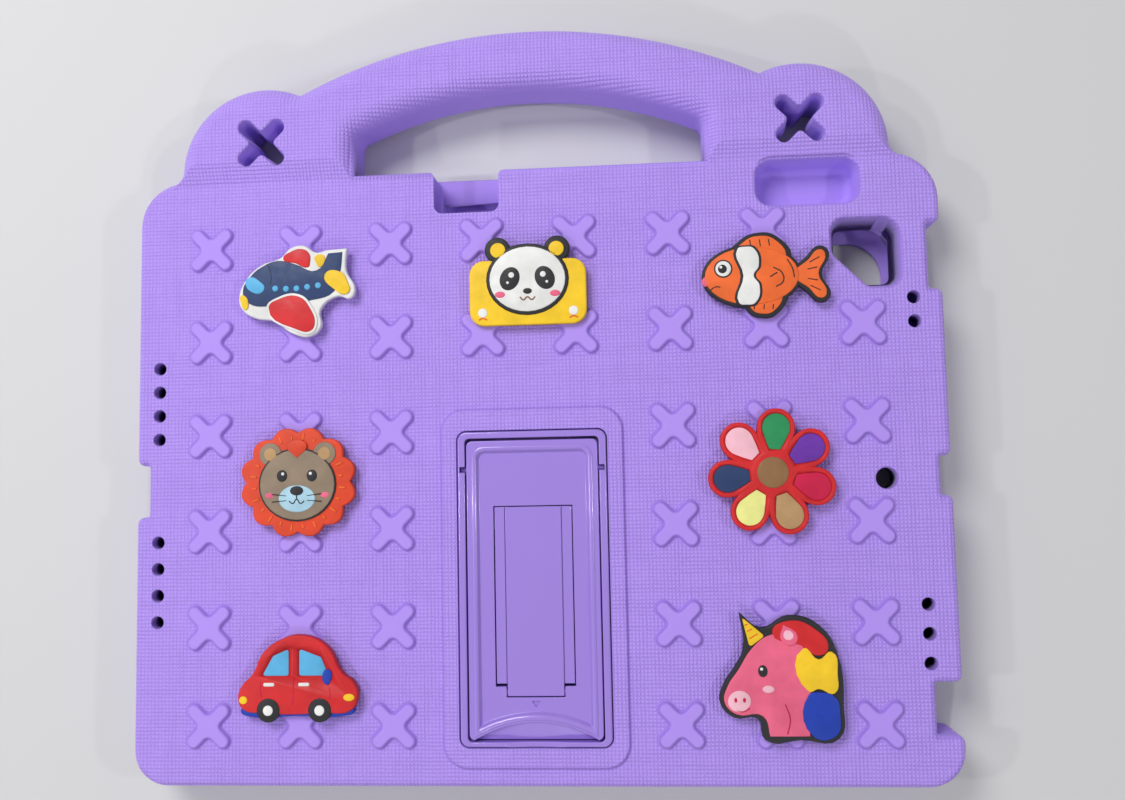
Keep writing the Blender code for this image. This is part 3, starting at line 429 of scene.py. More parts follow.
def grip():
    bm = bmesh.new()
    corner_middle = Vector((SIDE - UPPER_CORNER, TOP - UPPER_CORNER))
    fillet = circles_meet(EAR, EAR_RADIUS + EAR_FILLET, corner_middle, UPPER_CORNER - SUNK + EAR_FILLET)
    foot_angle = degrees_of(fillet - EAR)
    fillet_start = degrees_of(corner_middle - fillet)
    fillet_end = degrees_of(EAR - fillet)
    meet = EAR + Matrix.Rotation(math.radians(EAR_MEETS_HANDLE), 2) @ Vector((EAR_RADIUS, 0))
    drop = HANDLE_TOP - meet.y
    outer = (meet.x**2 + drop**2) / (2 * drop)
    outer_half = math.degrees(math.asin(meet.x / outer))
    under = HANDLE_TOP - HANDLE_SIZE
    inner = (GAP_X**2 + HANDLE_SAG**2) / (2 * HANDLE_SAG)
    corner = Vector((GAP_X - GAP_CORNER, 0))
    corner.y = under - inner + math.sqrt((inner - GAP_CORNER) ** 2 - corner.x**2)
    corner_end = math.degrees(math.atan2(corner.y - under + inner, corner.x))
    low = GRIP_FOOT - GRIP_LEGS
    foot_x = fillet.x + EAR_FILLET * math.cos(math.radians(fillet_start))
    arcs = [
        (bm.verts.new((foot_x, low, 0)),) * 2,
        spun_arc(bm, fillet, EAR_FILLET, fillet_start, fillet_end, 6),
        spun_arc(bm, EAR, EAR_RADIUS, foot_angle, EAR_MEETS_HANDLE, 26),
        spun_arc(bm, (0, HANDLE_TOP - outer), outer, 90 - outer_half, 90 + outer_half, 32),
        spun_arc(bm, (-EAR.x, EAR.y), EAR_RADIUS, 180 - EAR_MEETS_HANDLE, 180 - foot_angle, 26),
        spun_arc(bm, (-fillet.x, fillet.y), EAR_FILLET, 180 - fillet_end, 180 - fillet_start, 6),
        (bm.verts.new((-foot_x, low, 0)),) * 2,
        (bm.verts.new((-GAP_X, low, 0)),) * 2,
        spun_arc(bm, (-corner.x, corner.y), GAP_CORNER, 180, 180 - corner_end, 6),
        spun_arc(bm, (0, under - inner), inner, 180 - corner_end, corner_end, 26),
        spun_arc(bm, corner, GAP_CORNER, corner_end, 0, 6),
        (bm.verts.new((GAP_X, low, 0)),) * 2,
    ]
    for index, (first, _) in enumerate(arcs):
        last = arcs[index - 1][1]
        if (last.co - first.co).length > 0.01:
            bm.edges.new((last, first))
    bmesh.ops.remove_doubles(bm, verts=bm.verts, dist=0.01)
    bmesh.ops.contextual_create(bm, geom=bm.edges[:])
    build(bm, [(0, GRIP_BACK - 2 * SUNK)])
    shift(bm, 0, 0, 2 * SUNK)

    def rounded(edge):
        level = abs(edge.verts[0].co.z - edge.verts[1].co.z) < 0.01
        return level and any(vert.co.y > low + 0.01 for vert in edge.verts)

    soften(bm, [edge for edge in bm.edges if rounded(edge)], GRIP_EDGE, 8)
    slope = math.radians(GRIP_FOOT_SLOPE)
    start = Vector((0, GRIP_FOOT, BACK))
    rise = Vector((0, -math.sin(slope), math.cos(slope)))
    cut_off(bm, start, rise)
    foot = [
        edge for edge in bm.edges
        if all(abs((vert.co - start).dot(rise)) < 0.001 and vert.co.z > BACK + 0.2 for vert in edge.verts)
    ]
    soften(bm, foot, GRIP_FOOT_EDGE, 5, clamp=True)
    return bm


# %% [markdown]
# ## Raised pad and crosses
# A pad frames the stand, and a grid of crosses decorates the back and keeps the case from slipping. Both
# are raised with `soft_step`, whose foot starts level with the back, so that the join hardly shows after
# the Boolean union.

# %% Pad and crosses
CROSS_PITCH = 32.0
CROSS_ROW_PITCH = 32.83
CROSS_COLUMNS = 8
CROSS_ROWS = 6
CROSS_GRID_RISE = 2.6
CROSS_STEP = soft_step(1.5, 0.8, 1.0, 60, 4)
CROSS_REACH = 7.1
CROSS_ARM = 2.3

TRAY_X = 25.3
TRAY_Y0 = BOTTOM + 13.5
TRAY_Y1 = TRAY_Y0 + 104.8
PAD_HEIGHT = 1.2
PAD_STEP = soft_step(PAD_HEIGHT, 0.9, 0.9, 62, 4)
PAD_BOX = (-TRAY_X - 5.7, TRAY_Y0 - 7.0, TRAY_X + 5.7, TRAY_Y1 + 7.7)
CAMERA_CORNER = Vector((101.5, 62.75))


def cross_places():
    """A full grid, apart from the places of the pad and of the camera window."""
    x0, y0, x1, y1 = PAD_BOX
    half = CROSS_REACH / math.sqrt(2) + CROSS_ARM
    places = []
    for row in range(CROSS_ROWS):
        for column in range(CROSS_COLUMNS):
            x = (column - (CROSS_COLUMNS - 1) / 2) * CROSS_PITCH
            y = CROSS_GRID_RISE + (row - (CROSS_ROWS - 1) / 2) * CROSS_ROW_PITCH
            on_pad = x0 - half < x < x1 + half and y0 - half < y < y1 + half
            on_camera = x + half > CAMERA_CORNER.x and y + half > CAMERA_CORNER.y + 6
            if not on_pad and not on_camera:
                places.append((x, y))
    return places


def grown(step):
    """How far an outline is moved outwards, so that the middle of its soft step lies on the drawn line."""
    return inset_of(step) / 2


def raised_cross(x, y):
    arm = CROSS_ARM + grown(CROSS_STEP)
    bm = flat_cross(x, y, CROSS_REACH, arm, 0.8, BACK - 1)
    return build(bm, [(0, 1 - SUNK)] + CROSS_STEP)


def raised_pad():
    x0, y0, x1, y1 = PAD_BOX
    more = grown(PAD_STEP)
    bm = flat_box(x0 - more, y0 - more, x1 + more, y1 + more, 8 + more, BACK - 1, 10)
    return build(bm, [(0, 1 - SUNK)] + PAD_STEP)


print(len(cross_places()), "raised crosses")

# %% [markdown]
# ## Pocket, windows and holes
# Every opening is a solid that is cut away. Built from its wide end, with a bend at the surface, it
# leaves a soft rim like the one that foam gets when it leaves the mould. The screen opening is cut from
# the front; the camera window, the volume recess, the sound holes and the strap holes are cut from the
# back.

# %% Cutters
POCKET_X = 125.8
POCKET_Y = 87.55
POCKET_CORNER = 10.3
LIP = 2.5
POCKET_BACK = 10.3
POCKET_LEVEL = 9.0  # a level inside the pocket, where the cutters from the back end
PAST = 2.0  # how far a cutter runs on beyond the foam
RIM = 1.0
TRAY_CORNER = 3.0
TRAY_FLOOR = 11.8
TRAY_RIM = 0.5
FLANGE = 3.0
FIT = 0.3

# side of the case, middle of the row, number of holes and their pitch
SOUND_HOLES = (
    (-1, 30.7, 4, 8.3),
    (-1, -31.1, 4, 9.1),
    (1, 56.0, 2, 8.1),
    (1, -50.7, 3, 9.5),
)
SOUND_HOLE_X = {-1: 8.3 - SIDE, 1: SIDE - 10.0}
SOUND_HOLE_RADIUS = 2.1
CHANNEL = 7.2
MIC = (117.6, 0.0, 3.5)  # the middle and the radius of the microphone's hole

CAMERA_END = Vector((127.0, 89.05))
CAMERA_CUT = 12.5
CAMERA_DRAFT = 76
VOLUME_SIZE = Vector((37.1, 18.0))
VOLUME_END = Vector((SIDE - 24.8, TOP - 0.2))
VOLUME_DEPTH = 11
NOTCH_X = (-32.8, -10.0)
NOTCH_FLOOR = TOP - 15.3
NOTCH_BOTTOM = 6.8
NOTCH_MOUTH = 4
STRAP_RISE = 9.2
STRAP_REACH = 7.8
STRAP_ARM = 3.6
STRAP_DRAFT = 86

CHARM_X = 2.5 * CROSS_PITCH
CHARM_Y = 2.0 * CROSS_ROW_PITCH
# the middles of the charms, row by row from the lower left; none lies on the stand
CHARM_PLACES = [
    (column * CHARM_X, CROSS_GRID_RISE + row * CHARM_Y)
    for row in (-1, 0, 1)
    for column in (-1, 0, 1)
    if row == 1 or column != 0
]
POST_RADIUS = 2.5
POST_HEAD_RADIUS = 5.0
POST_HEAD = 1.9


def rim_cut(bm, surface, depth, rim=RIM, floor=0.0, draft=90.0):
    """Makes a downward cutter from an outline that is drawn above a surface. Its rim is round."""
    start = bm.verts[:][0].co.z
    return build(bm, [(0, start - surface)] + soft_step(depth, rim, floor, draft, 5), downwards=True)


def screen_cuts():
    x, y = POCKET_X - 2.8, POCKET_Y - 4.8
    screen = flat_box(-x - RIM, -y - RIM, x + RIM, y + RIM, 12 + RIM, -PAST, 10)
    build(screen, [(0, PAST)] + soft_step(LIP * 2, RIM, 0, 90, 5))
    slot = flat_box(-POCKET_X, -POCKET_Y, POCKET_X, POCKET_Y, POCKET_CORNER, LIP, 10)
    return [screen, build(slot, [(0, POCKET_BACK - LIP)])]


def round_tray(more, z):
    """The tray's outline, grown by some way."""
    corner = TRAY_CORNER + more
    return flat_box(-TRAY_X - more, TRAY_Y0 - more, TRAY_X + more, TRAY_Y1 + more, corner, z, 8)


def tray_cuts():
    top = BACK + PAD_HEIGHT
    hole = rim_cut(round_tray(FIT + TRAY_RIM, top + PAST), top, top - POCKET_LEVEL, TRAY_RIM)
    return [hole, build(round_tray(FLANGE + FIT, POCKET_LEVEL), [(0, TRAY_FLOOR + FIT - POCKET_LEVEL)])]


def through_cut(bm, rim, draft=90.0):
    """A cutter from above the back down into the pocket."""
    return rim_cut(bm, BACK, BACK - POCKET_LEVEL, rim, 0, draft)


def camera_cut():
    """The window slopes inwards from the back to the tablet, with its lower left corner cut off."""
    x0, y0 = CAMERA_CORNER
    x1, y1 = CAMERA_END
    corners = [(x0 + CAMERA_CUT, y0), (x1, y0), (x1, y1), (x0, y1), (x0, y0 + CAMERA_CUT)]
    return through_cut(flat_shape(corners, [5, 6, 8, 6, 5], BACK + PAST, 8), 1.4, CAMERA_DRAFT)


def volume_cut():
    """The recess over the volume buttons, which is deep but closed at its floor."""
    start = VOLUME_END - VOLUME_SIZE
    return rim_cut(flat_box(*start, *VOLUME_END, 6.5, GRIP_BACK + PAST, 8), BACK, VOLUME_DEPTH, 1.3, 3.0, 84)


def top_notch_cuts():
    """A notch in the top edge, whose mouth widens in two round corners, and a slot on to the tablet."""
    x0, x1 = NOTCH_X
    mouth, past = TOP + 0.05, TOP + 2 * NOTCH_MOUTH
    wide0, wide1 = x0 - NOTCH_MOUTH, x1 + NOTCH_MOUTH
    corners = [(x0, NOTCH_FLOOR), (x1, NOTCH_FLOOR), (x1, mouth), (wide1, mouth)]
    corners += [(wide1, past), (wide0, past), (wide0, mouth), (x0, mouth)]
    notch = flat_shape(corners, [3.0, 3.0, 2.5, 0, 0, 0, 0, 2.5], BACK + PAST)
    slot = flat_box(x0 + 1, POCKET_Y - LIP, x1 - 1, NOTCH_FLOOR + NOTCH_BOTTOM, 0.3, LIP + FIT, 2)
    cut = rim_cut(notch, BACK, BACK - NOTCH_BOTTOM, 0.01, 1.5)
    return [cut, build(slot, [(0, POCKET_BACK - LIP - 2 * FIT)])]


def edge_slot(side, middle, half, reach):
    """A flat slot from inside the tablet's edge outwards to a given reach."""
    x0, x1 = sorted((side * (POCKET_X - LIP), side * reach))
    bm = flat_box(x0, middle - half, x1, middle + half, 0.3, LIP + FIT, 2)
    return build(bm, [(0, POCKET_BACK - LIP - 2 * FIT)])


def edge_slots():
    """Holes from the notches through to the tablet, and a channel beside it under each row of sound holes."""
    made = []
    for side, middle, _, depth, hole in SIDE_NOTCHES:
        made.append(edge_slot(side, middle, hole / 2, SIDE - depth + 1))
    for side, middle, count, pitch in SOUND_HOLES:
        half = (count - 1) / 2 * pitch + SOUND_HOLE_RADIUS + 1
        made.append(edge_slot(side, middle, half, POCKET_X + CHANNEL))
    return made


def sound_cuts():
    """Rows of round holes, and one hole for a microphone."""
    made = []
    for side, middle, count, pitch in SOUND_HOLES:
        for index in range(count):
            y = middle + (index - (count - 1) / 2) * pitch
            made.append(through_cut(disc(SOUND_HOLE_X[side], y, SOUND_HOLE_RADIUS + 0.4, BACK + PAST), 0.4))
    x, y, radius = MIC
    return made + [through_cut(disc(x, y, radius + 0.6, BACK + PAST, 32), 0.6)]


def post_cuts():
    """Stepped holes for the posts of the charms, wider on the tablet's side, where their heads lie."""
    made = []
    for x, y in CHARM_PLACES:
        stem = through_cut(disc(x, y, POST_RADIUS + FIT + 0.3, BACK + PAST), 0.3)
        depth = POCKET_BACK + POST_HEAD + 2 * FIT - POCKET_LEVEL
        head = build(disc(x, y, POST_HEAD_RADIUS + FIT, POCKET_LEVEL), [(0, depth)])
        made.append((stem, head))
    return made


def strap_cuts():
    """Cross-shaped holes through the ears, soft at both faces and a little narrower inside."""
    made = []
    for side in (-1, 1):
        for low in (False, True):
            z = -PAST if low else GRIP_BACK + PAST
            bm = flat_cross(side * EAR.x, EAR.y + STRAP_RISE, STRAP_REACH, STRAP_ARM, 0.6, z)
            profile = [(0, PAST)] + soft_step(GRIP_BACK / 2 + 0.1, 1.0, 0, STRAP_DRAFT, 5)
            made.append(build(bm, profile, downwards=not low))
    return made


# %% [markdown]
# ## The skin of the foam
# The back has a fine woven grain from the mould, about 1.25 mm from rib to rib, while the crosses and the
# steep sides are smooth. The grain could be real geometry, but it would take millions of faces, so it is
# a bump, and painted shade darkens the colour in its grooves. It reads the piece's own coordinates, seen
# straight down, which also draws the lines out on the sides as the mould does. Two vertex attributes tell
# the material where the grain shows, and where a raised form's side is steep; there it paints shade into
# the colour as well.

# %% Foam material
GRAIN_PITCH = 0.00125
GRAIN_DEPTH = 0.0003
RIB_DRIFT = 0.3  # how far a rib strays, as a share of the pitch
# painted shade: how far the colour darkens in the grooves of the grain
PAINTED_GROOVE_SHADE = 0.62
PLAIN_SHADE = 0.36
# painted shade: how far the colour darkens on the steep sides of raised forms and on hole rims
PAINTED_STEEP_SHADE = 1.2
# the foam's colour; the random tone and the painted shade move it towards the darker one
FOAM_LIGHT = (0.47, 0.32, 0.90, 1)
FOAM_DARK = (0.31, 0.18, 0.68, 1)
GRAIN = "grain"
STEEP = "steep"


class Nodes:
    """A small helper for wiring a material: each call adds a node, and takes values or other outputs."""

    def __init__(self, name):
        self.material = bpy.data.materials.new(name)
        self.material.use_nodes = True
        self.tree = self.material.node_tree
        self.shader = self.tree.nodes["Principled BSDF"]

    def plug(self, socket, value):
        if isinstance(value, bpy.types.NodeSocket):
            self.tree.links.new(value, socket)
        else:
            socket.default_value = value

    def add(self, kind, **settings):
        node = self.tree.nodes.new(kind)
        for key, value in settings.items():
            setattr(node, key, value)
        return node

    def math(self, operation, *values):
        node = self.add("ShaderNodeMath", operation=operation)
        for socket, value in zip(node.inputs, values):
            self.plug(socket, value)
        return node.outputs[0]

    def times(self, first, second):
        return self.math("MULTIPLY", first, second)

    def plus(self, first, second):
        return self.math("ADD", first, second)

    def minus(self, first, second):
        return self.math("SUBTRACT", first, second)

    def noise(self, vector, scale, detail=2.0):
        node = self.add("ShaderNodeTexNoise")
        self.plug(node.inputs["Vector"], vector)
        node.inputs["Scale"].default_value = scale
        node.inputs["Detail"].default_value = detail
        return node.outputs["Fac"]

    def span(self, value, low, high, start=0.0, end=1.0):
        """Maps a value from one range to another."""
        node = self.add("ShaderNodeMapRange")
        for socket, number in zip(node.inputs, (value, start, end, low, high)):
            self.plug(socket, number)
        return node.outputs[0]

    def mix(self, factor, first, second):
        node = self.add("ShaderNodeMix", data_type="RGBA")
        self.plug(node.inputs["Factor"], factor)
        self.plug(node.inputs["A"], first)
        self.plug(node.inputs["B"], second)
        return node.outputs["Result"]

    def bump(self, height, distance, strength=1.0):
        node = self.add("ShaderNodeBump")
        node.inputs["Distance"].default_value = distance
        self.plug(node.inputs["Strength"], strength)
        self.plug(node.inputs["Height"], height)
        return node.outputs["Normal"]

    def attribute(self, name):
        return self.add("ShaderNodeAttribute", attribute_name=name).outputs["Fac"]

    def place(self):
        return self.add("ShaderNodeTexCoord").outputs["Object"]

    def finish(self, **inputs):
        """Sets inputs of the shader; a name's underscores stand for spaces."""
        for name, value in inputs.items():
            self.plug(self.shader.inputs[name.replace("_", " ")], value)
        return self.material


def foam_material():
    nodes = Nodes("foam")
    place = nodes.place()
    split = nodes.add("ShaderNodeSeparateXYZ")
    nodes.plug(split.inputs[0], place)
    uneven = nodes.noise(place, 180.0)
    ribs = []
    for axis, stretch in (("X", (1, 0.15, 1)), ("Y", (0.15, 1, 1))):
        drift = nodes.times(nodes.minus(uneven, 0.5), RIB_DRIFT * GRAIN_PITCH)
        along = nodes.plus(split.outputs[axis], drift)
        rib = nodes.math("ABSOLUTE", nodes.math("SINE", nodes.times(along, math.pi / GRAIN_PITCH)))
        mapping = nodes.add("ShaderNodeMapping")
        mapping.inputs["Scale"].default_value = stretch
        nodes.plug(mapping.inputs["Vector"], place)
        strength = nodes.span(nodes.noise(mapping.outputs[0], 300.0, 1.0), 0.72, 1.0, 0.35, 0.65)
        ribs.append(nodes.plus(nodes.times(nodes.minus(rib, 1.0), strength), 1.0))
    weave = nodes.times(*ribs)
    shown = nodes.attribute(GRAIN)
    # painted shade in the grooves of the grain, where the weave is low
    groove = nodes.times(nodes.minus(1.0, weave), shown)
    cloud = nodes.span(nodes.noise(place, 28.0, 3.0), 0.0, 0.10)
    plain = nodes.times(nodes.minus(1.0, shown), PLAIN_SHADE)
    # painted shade on steep sides, in place of the shade that gathers at their feet
    steep = nodes.times(nodes.attribute(STEEP), PAINTED_STEEP_SHADE)
    shade = nodes.plus(nodes.times(groove, PAINTED_GROOVE_SHADE), nodes.plus(cloud, plain))
    shade = nodes.plus(shade, steep)
    pores = nodes.times(nodes.noise(place, 3200.0, 1.0), 0.12)
    return nodes.finish(
        Base_Color=nodes.mix(shade, FOAM_LIGHT, FOAM_DARK),
        Roughness=nodes.span(nodes.noise(place, 900.0), 0.62, 0.78),
        Specular_IOR_Level=0.35,
        Sheen_Weight=0.12,
        Sheen_Roughness=0.5,
        Normal=nodes.bump(nodes.plus(nodes.times(weave, shown), pores), GRAIN_DEPTH),
    )


foam = foam_material()
print("foam material:", len(foam.node_tree.nodes), "nodes")

# %% [markdown]
# ## The shell
# The solids are joined first and cut afterwards. The grain attribute is worked out from the finished
# faces: full on what faces up, none on crosses, in recesses and on the front. So is the steep attribute,
# which places painted shade on the sides of raised forms and on the rims of holes. A weighted normal
# modifier then keeps the large flat faces flat beside the narrow faces of the bends.

# %% Foam shell
FULL_GRAIN = 0.80  # how far a face's normal must point up for the full grain
NO_GRAIN = 0.15


def grain_at(vert):
    """How much of the woven grain shows at a vertex, from 0 to 1."""
    x, y, z = vert.co
    on_cross = BACK + 0.05 < z and y < GRIP_FOOT - 1 and not (abs(x) < PAD_BOX[2] + 2 and y < PAD_BOX[3] + 2)
    if on_cross or z < BACK - BODY_EDGE:
        return 0.0
    return min(1.0, max(0.0, (vert.normal.z - NO_GRAIN) / (FULL_GRAIN - NO_GRAIN)))


def steep_at(vert):
    """How steep a raised form's side or a hole's rim is at a vertex, from 0 to 1: the painted shade there.
    The grip has none.
    """
    x, y, z = vert.co
    if z < BACK - 0.5 or y > GRIP_FOOT - 1 or abs(x) > SIDE - BODY_EDGE or y < BOTTOM + BODY_EDGE:
        return 0.0
    return 1.0 - max(0.0, vert.normal.z)


start = time.time()
crosses = gathered(raised_cross(x, y) for x, y in cross_places())
shell = slab()
for form in (grip(), raised_pad(), crosses):
    shell = carve(shell, "UNION", [form])
stems, heads = zip(*post_cuts())
cuts = screen_cuts() + tray_cuts() + top_notch_cuts() + strap_cuts() + [camera_cut(), volume_cut()]
cuts += [gathered(made) for made in (edge_slots(), sound_cuts(), stems, heads)]
shell = carve(shell, "DIFFERENCE", cuts)
print("shell carved in", round(time.time() - start, 1), "s")
bmesh.ops.remove_doubles(shell, verts=shell.verts, dist=0.001)
bmesh.ops.dissolve_limit(shell, angle_limit=math.radians(0.05), verts=shell.verts, edges=shell.edges)
shell.normal_update()
for name, measure in ((GRAIN, grain_at), (STEEP, steep_at)):
    layer = shell.verts.layers.float.new(name)
    for vert in shell.verts:
        vert[layer] = measure(vert)
foam_nodes = ["foam_frame", "foam_back", "foam_grip"]
foam_piece = finish_piece("foam_body", shell, "case", [foam], foam_nodes)
weighted = foam_piece.modifiers.new("flat faces", "WEIGHTED_NORMAL")
weighted.weight = 80

# %% [markdown]
# ## Smooth plastic
# The stand is moulded in a harder plastic of almost the same purple. It is smooth and rather glossy, so
# its look comes from clean highlights: a very faint waviness in the surface bends them a little, and the
# roughness varies softly, as handling leaves it.

# %% Stand material
PLASTIC_LIGHT = (0.315, 0.195, 0.67, 1)
PLASTIC_DARK = (0.275, 0.168, 0.60, 1)


def plastic_material():
    nodes = Nodes("stand_plastic")
    place = nodes.place()
    cloud = nodes.span(nodes.noise(place, 40.0, 3.0), 0.0, 0.5)
    fine = nodes.times(nodes.noise(place, 2600.0, 1.0), 0.05)
    return nodes.finish(
        Base_Color=nodes.mix(cloud, PLASTIC_LIGHT, PLASTIC_DARK),
        Roughness=nodes.span(nodes.noise(place, 65.0, 4.0), 0.15, 0.25, 0.3, 0.7),
        Coat_Weight=0.5,
        Coat_Roughness=0.06,
        Normal=nodes.bump(nodes.plus(nodes.noise(place, 90.0, 1.0), fine), 0.00006),
    )


plastic = plastic_material()
print("plastic material:", len(plastic.node_tree.nodes), "nodes")

# %% [markdown]
# ## The stand's tray
# The tray is a frame pressed into the foam, with a floor under it. It could be one bent sheet with a
# thickness, but its bars are solid, so it is a soft-edged plate with its well cut out. The leg's pins
# drop into two square slots in the side bars, and a shallow arc in the lower bar makes room for a
# fingertip. Two rails on the floor guide the prop.

# %% Tray
TRAY_LOW = 10.6
TRAY_TOP = 21.6
TRAY_WALL = 2.5
WELL_X = TRAY_X - TRAY_WALL
WELL_Y0 = TRAY_Y0 + 1.7
WELL_Y1 = TRAY_Y1 - 2.3
HINGE_Y = 5.6
HINGE_Z = 18.5
HEEL = 9.7
PIN_RADIUS = 1.2
PIN_FIT = 0.25
PIN_REACH = 24.4
SLOT_MOUTH = 1.9
RAIL_X = 13.8
RAIL_WIDTH = 1.2
RAIL_HEIGHT = 1.5
CATCH_Y = -22.8
CATCH_DEPTH = 0.5
BITE_RADIUS = 50.6
BITE_DEPTH = 1.2


def plate(x0, y0, x1, y1, corner, z0, z1, head=0.0):
    """A box with round upright edges and, if wanted, a round upper rim."""
    return build(flat_box(x0, y0, x1, y1, corner, z0), soft_step(z1 - z0, 0, head))


def rod(radius, start, end, steps=32):
    """A round bar between two points."""
    start, end = Vector(start), Vector(end)
    turn = (end - start).to_track_quat("Z", "Y").to_matrix().to_4x4()
    place = Matrix.Translation((start + end) / 2) @ turn
    length = (end - start).length
    bm = bmesh.new()
    bmesh.ops.create_cone(
        bm, cap_ends=True, segments=steps, radius1=radius, radius2=radius, depth=length, matrix=place
    )
    return bm


def both_sides(make):
    """The same shape made once for the left side and once for the right."""
    return [make(side) for side in (-1, 1)]


def break_edges(piece, width=0.2, limit=40):
    """Breaks the edges that the cuts leave sharp, and keeps the large faces flat."""
    bevel = piece.modifiers.new("edges", "BEVEL")
    bevel.width = width * MM
    bevel.segments = 2
    bevel.limit_method = "ANGLE"
    bevel.angle_limit = math.radians(limit)
    piece.modifiers.new("flat faces", "WEIGHTED_NORMAL").weight = 80


def pin_slot(side):
    x0, x1 = sorted((side * (WELL_X - 1), side * (PIN_REACH + PIN_FIT)))
    half = PIN_RADIUS + PIN_FIT
    seat = plate(x0, HINGE_Y - half, x1, HINGE_Y + half, 0, HINGE_Z - half, HINGE_Z + half)
    half = SLOT_MOUTH / 2
    mouth = plate(x0, HINGE_Y - half, x1, HINGE_Y + half, 0, HINGE_Z, TRAY_TOP + PAST)
    return carve(seat, "UNION", [mouth])


def rail(side):
    x0, x1 = sorted((side * RAIL_X, side * (RAIL_X + RAIL_WIDTH)))
    return plate(x0, WELL_Y0 + 3.5, x1, HINGE_Y - HEEL, 0.3, TRAY_FLOOR - 0.6, TRAY_FLOOR + RAIL_HEIGHT, 0.2)


def tray():
    bars = plate(-TRAY_X, TRAY_Y0, TRAY_X, TRAY_Y1, TRAY_CORNER, TRAY_LOW, TRAY_TOP, 0.7)
    x, y0, y1 = TRAY_X + FLANGE, TRAY_Y0 - FLANGE, TRAY_Y1 + FLANGE
    seat = plate(-x, y0, x, y1, TRAY_CORNER + FLANGE, TRAY_LOW, TRAY_FLOOR)
    rim = 0.4
    well = flat_box(-WELL_X - rim, WELL_Y0 - rim, WELL_X + rim, WELL_Y1 + rim, 1.5 + rim, TRAY_TOP + PAST)
    well = rim_cut(well, TRAY_TOP, TRAY_TOP - TRAY_FLOOR, rim, 0.5)
    bite_z = TRAY_TOP - BITE_DEPTH + BITE_RADIUS
    bite = rod(BITE_RADIUS, (0, TRAY_Y0 - PAST, bite_z), (0, WELL_Y0 + 0.4, bite_z), 256)
    body = carve(bars, "UNION", [seat])
    body = carve(body, "DIFFERENCE", [well, bite] + both_sides(pin_slot))
    body = carve(body, "UNION", both_sides(rail))
    x = RAIL_X - FIT
    catch = plate(-x, CATCH_Y - 3, x, CATCH_Y + 3, 1, TRAY_FLOOR - CATCH_DEPTH, TRAY_FLOOR + 0.5)
    return carve(body, "DIFFERENCE", [catch])


tray_piece = finish_piece("tray", tray(), "case", [plastic], ["stand_tray"])
break_edges(tray_piece, 0.15)

# %% [markdown]
# ## The leg
# The leg is one plate with a raised rim. The rim could be modelled as four bars, but it is really the
# plate's full thickness, and the middle is sunk by a millimetre with a soft slope. The slope is what
# catches the light along the rim. A finger scoop slopes down to the free end, and the heel beyond the
# hinge is cut off at the opening angle, so that it lies flat on the tray's floor and stops the leg.

# %% Leg
LEG_X = 22.4
LEG_Y0 = -84.3
LEG_Y1 = 15.3
LEG_LOW = 17.0
LEG_TOP = 21.0
LEG_FACE = 20.0
LEG_OPEN = 40.0
RIM_TO_CREST = 2.6
RIM_CORNER = 3.6
CREST = 1.1
CREST_HEIGHT = 0.4
SCOOP_RADIUS = 41.0
SCOOP_RISE = 7.5
SCOOP_RIDGE = 1.5
SCOOP_DEPTH = 2.2
SCOOP_MIDDLE = LEG_Y0 + SCOOP_RISE - SCOOP_RADIUS
ARROW_WIDTH = 3.0
ARROW_HEIGHT = 2.2
ARROW_RISE = 4.1

PROP_X = 9.5
PROP_FLANGE = 3.6
PROP_HINGE_Y = HINGE_Y - 74.2
PROP_TIP = PROP_HINGE_Y + 61.4
PROP_END = PROP_HINGE_Y - 1.5
PROP_NECK = PROP_HINGE_Y + 2.6
PROP_PIN = 0.9
PROP_PIN_REACH = PROP_X + 1.7
PROP_FIT = 0.35
PROP_HALF = 1.3  # half of the prop's thickness
PROP_HEEL = 0.9  # the round edge under the prop's hinged end
GROOVE = 0.3
GROOVE_DEPTH = 1.0


def arched_shape(grow, z):
    """The outline of the leg's rim, grown or not: two round corners, and the arch over the finger scoop."""
    bm = bmesh.new()
    x = LEG_X - RIM_TO_CREST + grow
    radius = SCOOP_RADIUS - grow
    spread = math.degrees(math.asin(x / radius))
    left, right = spun_arc(bm, (0, SCOOP_MIDDLE), radius, 90 + spread, 90 - spread, 12)
    upper = [bm.verts.new((side * x, LEG_Y1 - RIM_TO_CREST + grow, 0)) for side in (1, -1)]
    for pair in ((right, upper[0]), upper, (upper[1], left)):
        bm.edges.new(pair)
    bmesh.ops.contextual_create(bm, geom=bm.edges[:])
    soften(bm, upper, RIM_CORNER + grow, 8, "VERTICES")
    shift(bm, 0, 0, z)
    return bm


def scoop():
    """A round plate, sheared so that its underside slopes down to the free end of the leg."""
    bm = build(disc(0, SCOOP_MIDDLE, SCOOP_RADIUS - SCOOP_RIDGE, LEG_TOP, 192), [(0, 8)])
    slope = SCOOP_DEPTH / SCOOP_RISE
    shear = Matrix.Identity(4)
    shear[2][1] = slope
    shear[2][3] = -slope * (LEG_Y0 + SCOOP_RISE)
    bmesh.ops.transform(bm, matrix=shear, verts=bm.verts)
    return bm


def window():
    """The window that the prop folds into: narrow at its hinge, and wider beside its flanges."""
    x0, x1 = PROP_X + PROP_FIT, PROP_X + PROP_FLANGE + PROP_FIT
    y0, y1, y2 = PROP_END - PROP_FIT, PROP_NECK - 0.9, PROP_TIP + PROP_FIT
    corners = [(-x0, y0), (x0, y0), (x0, y1), (x1, y1), (x1, y2), (-x1, y2), (-x1, y1), (-x0, y1)]
    return build(flat_shape(corners, [0] * 8, LEG_LOW - PAST), [(0, LEG_TOP - LEG_LOW + 2 * PAST)])


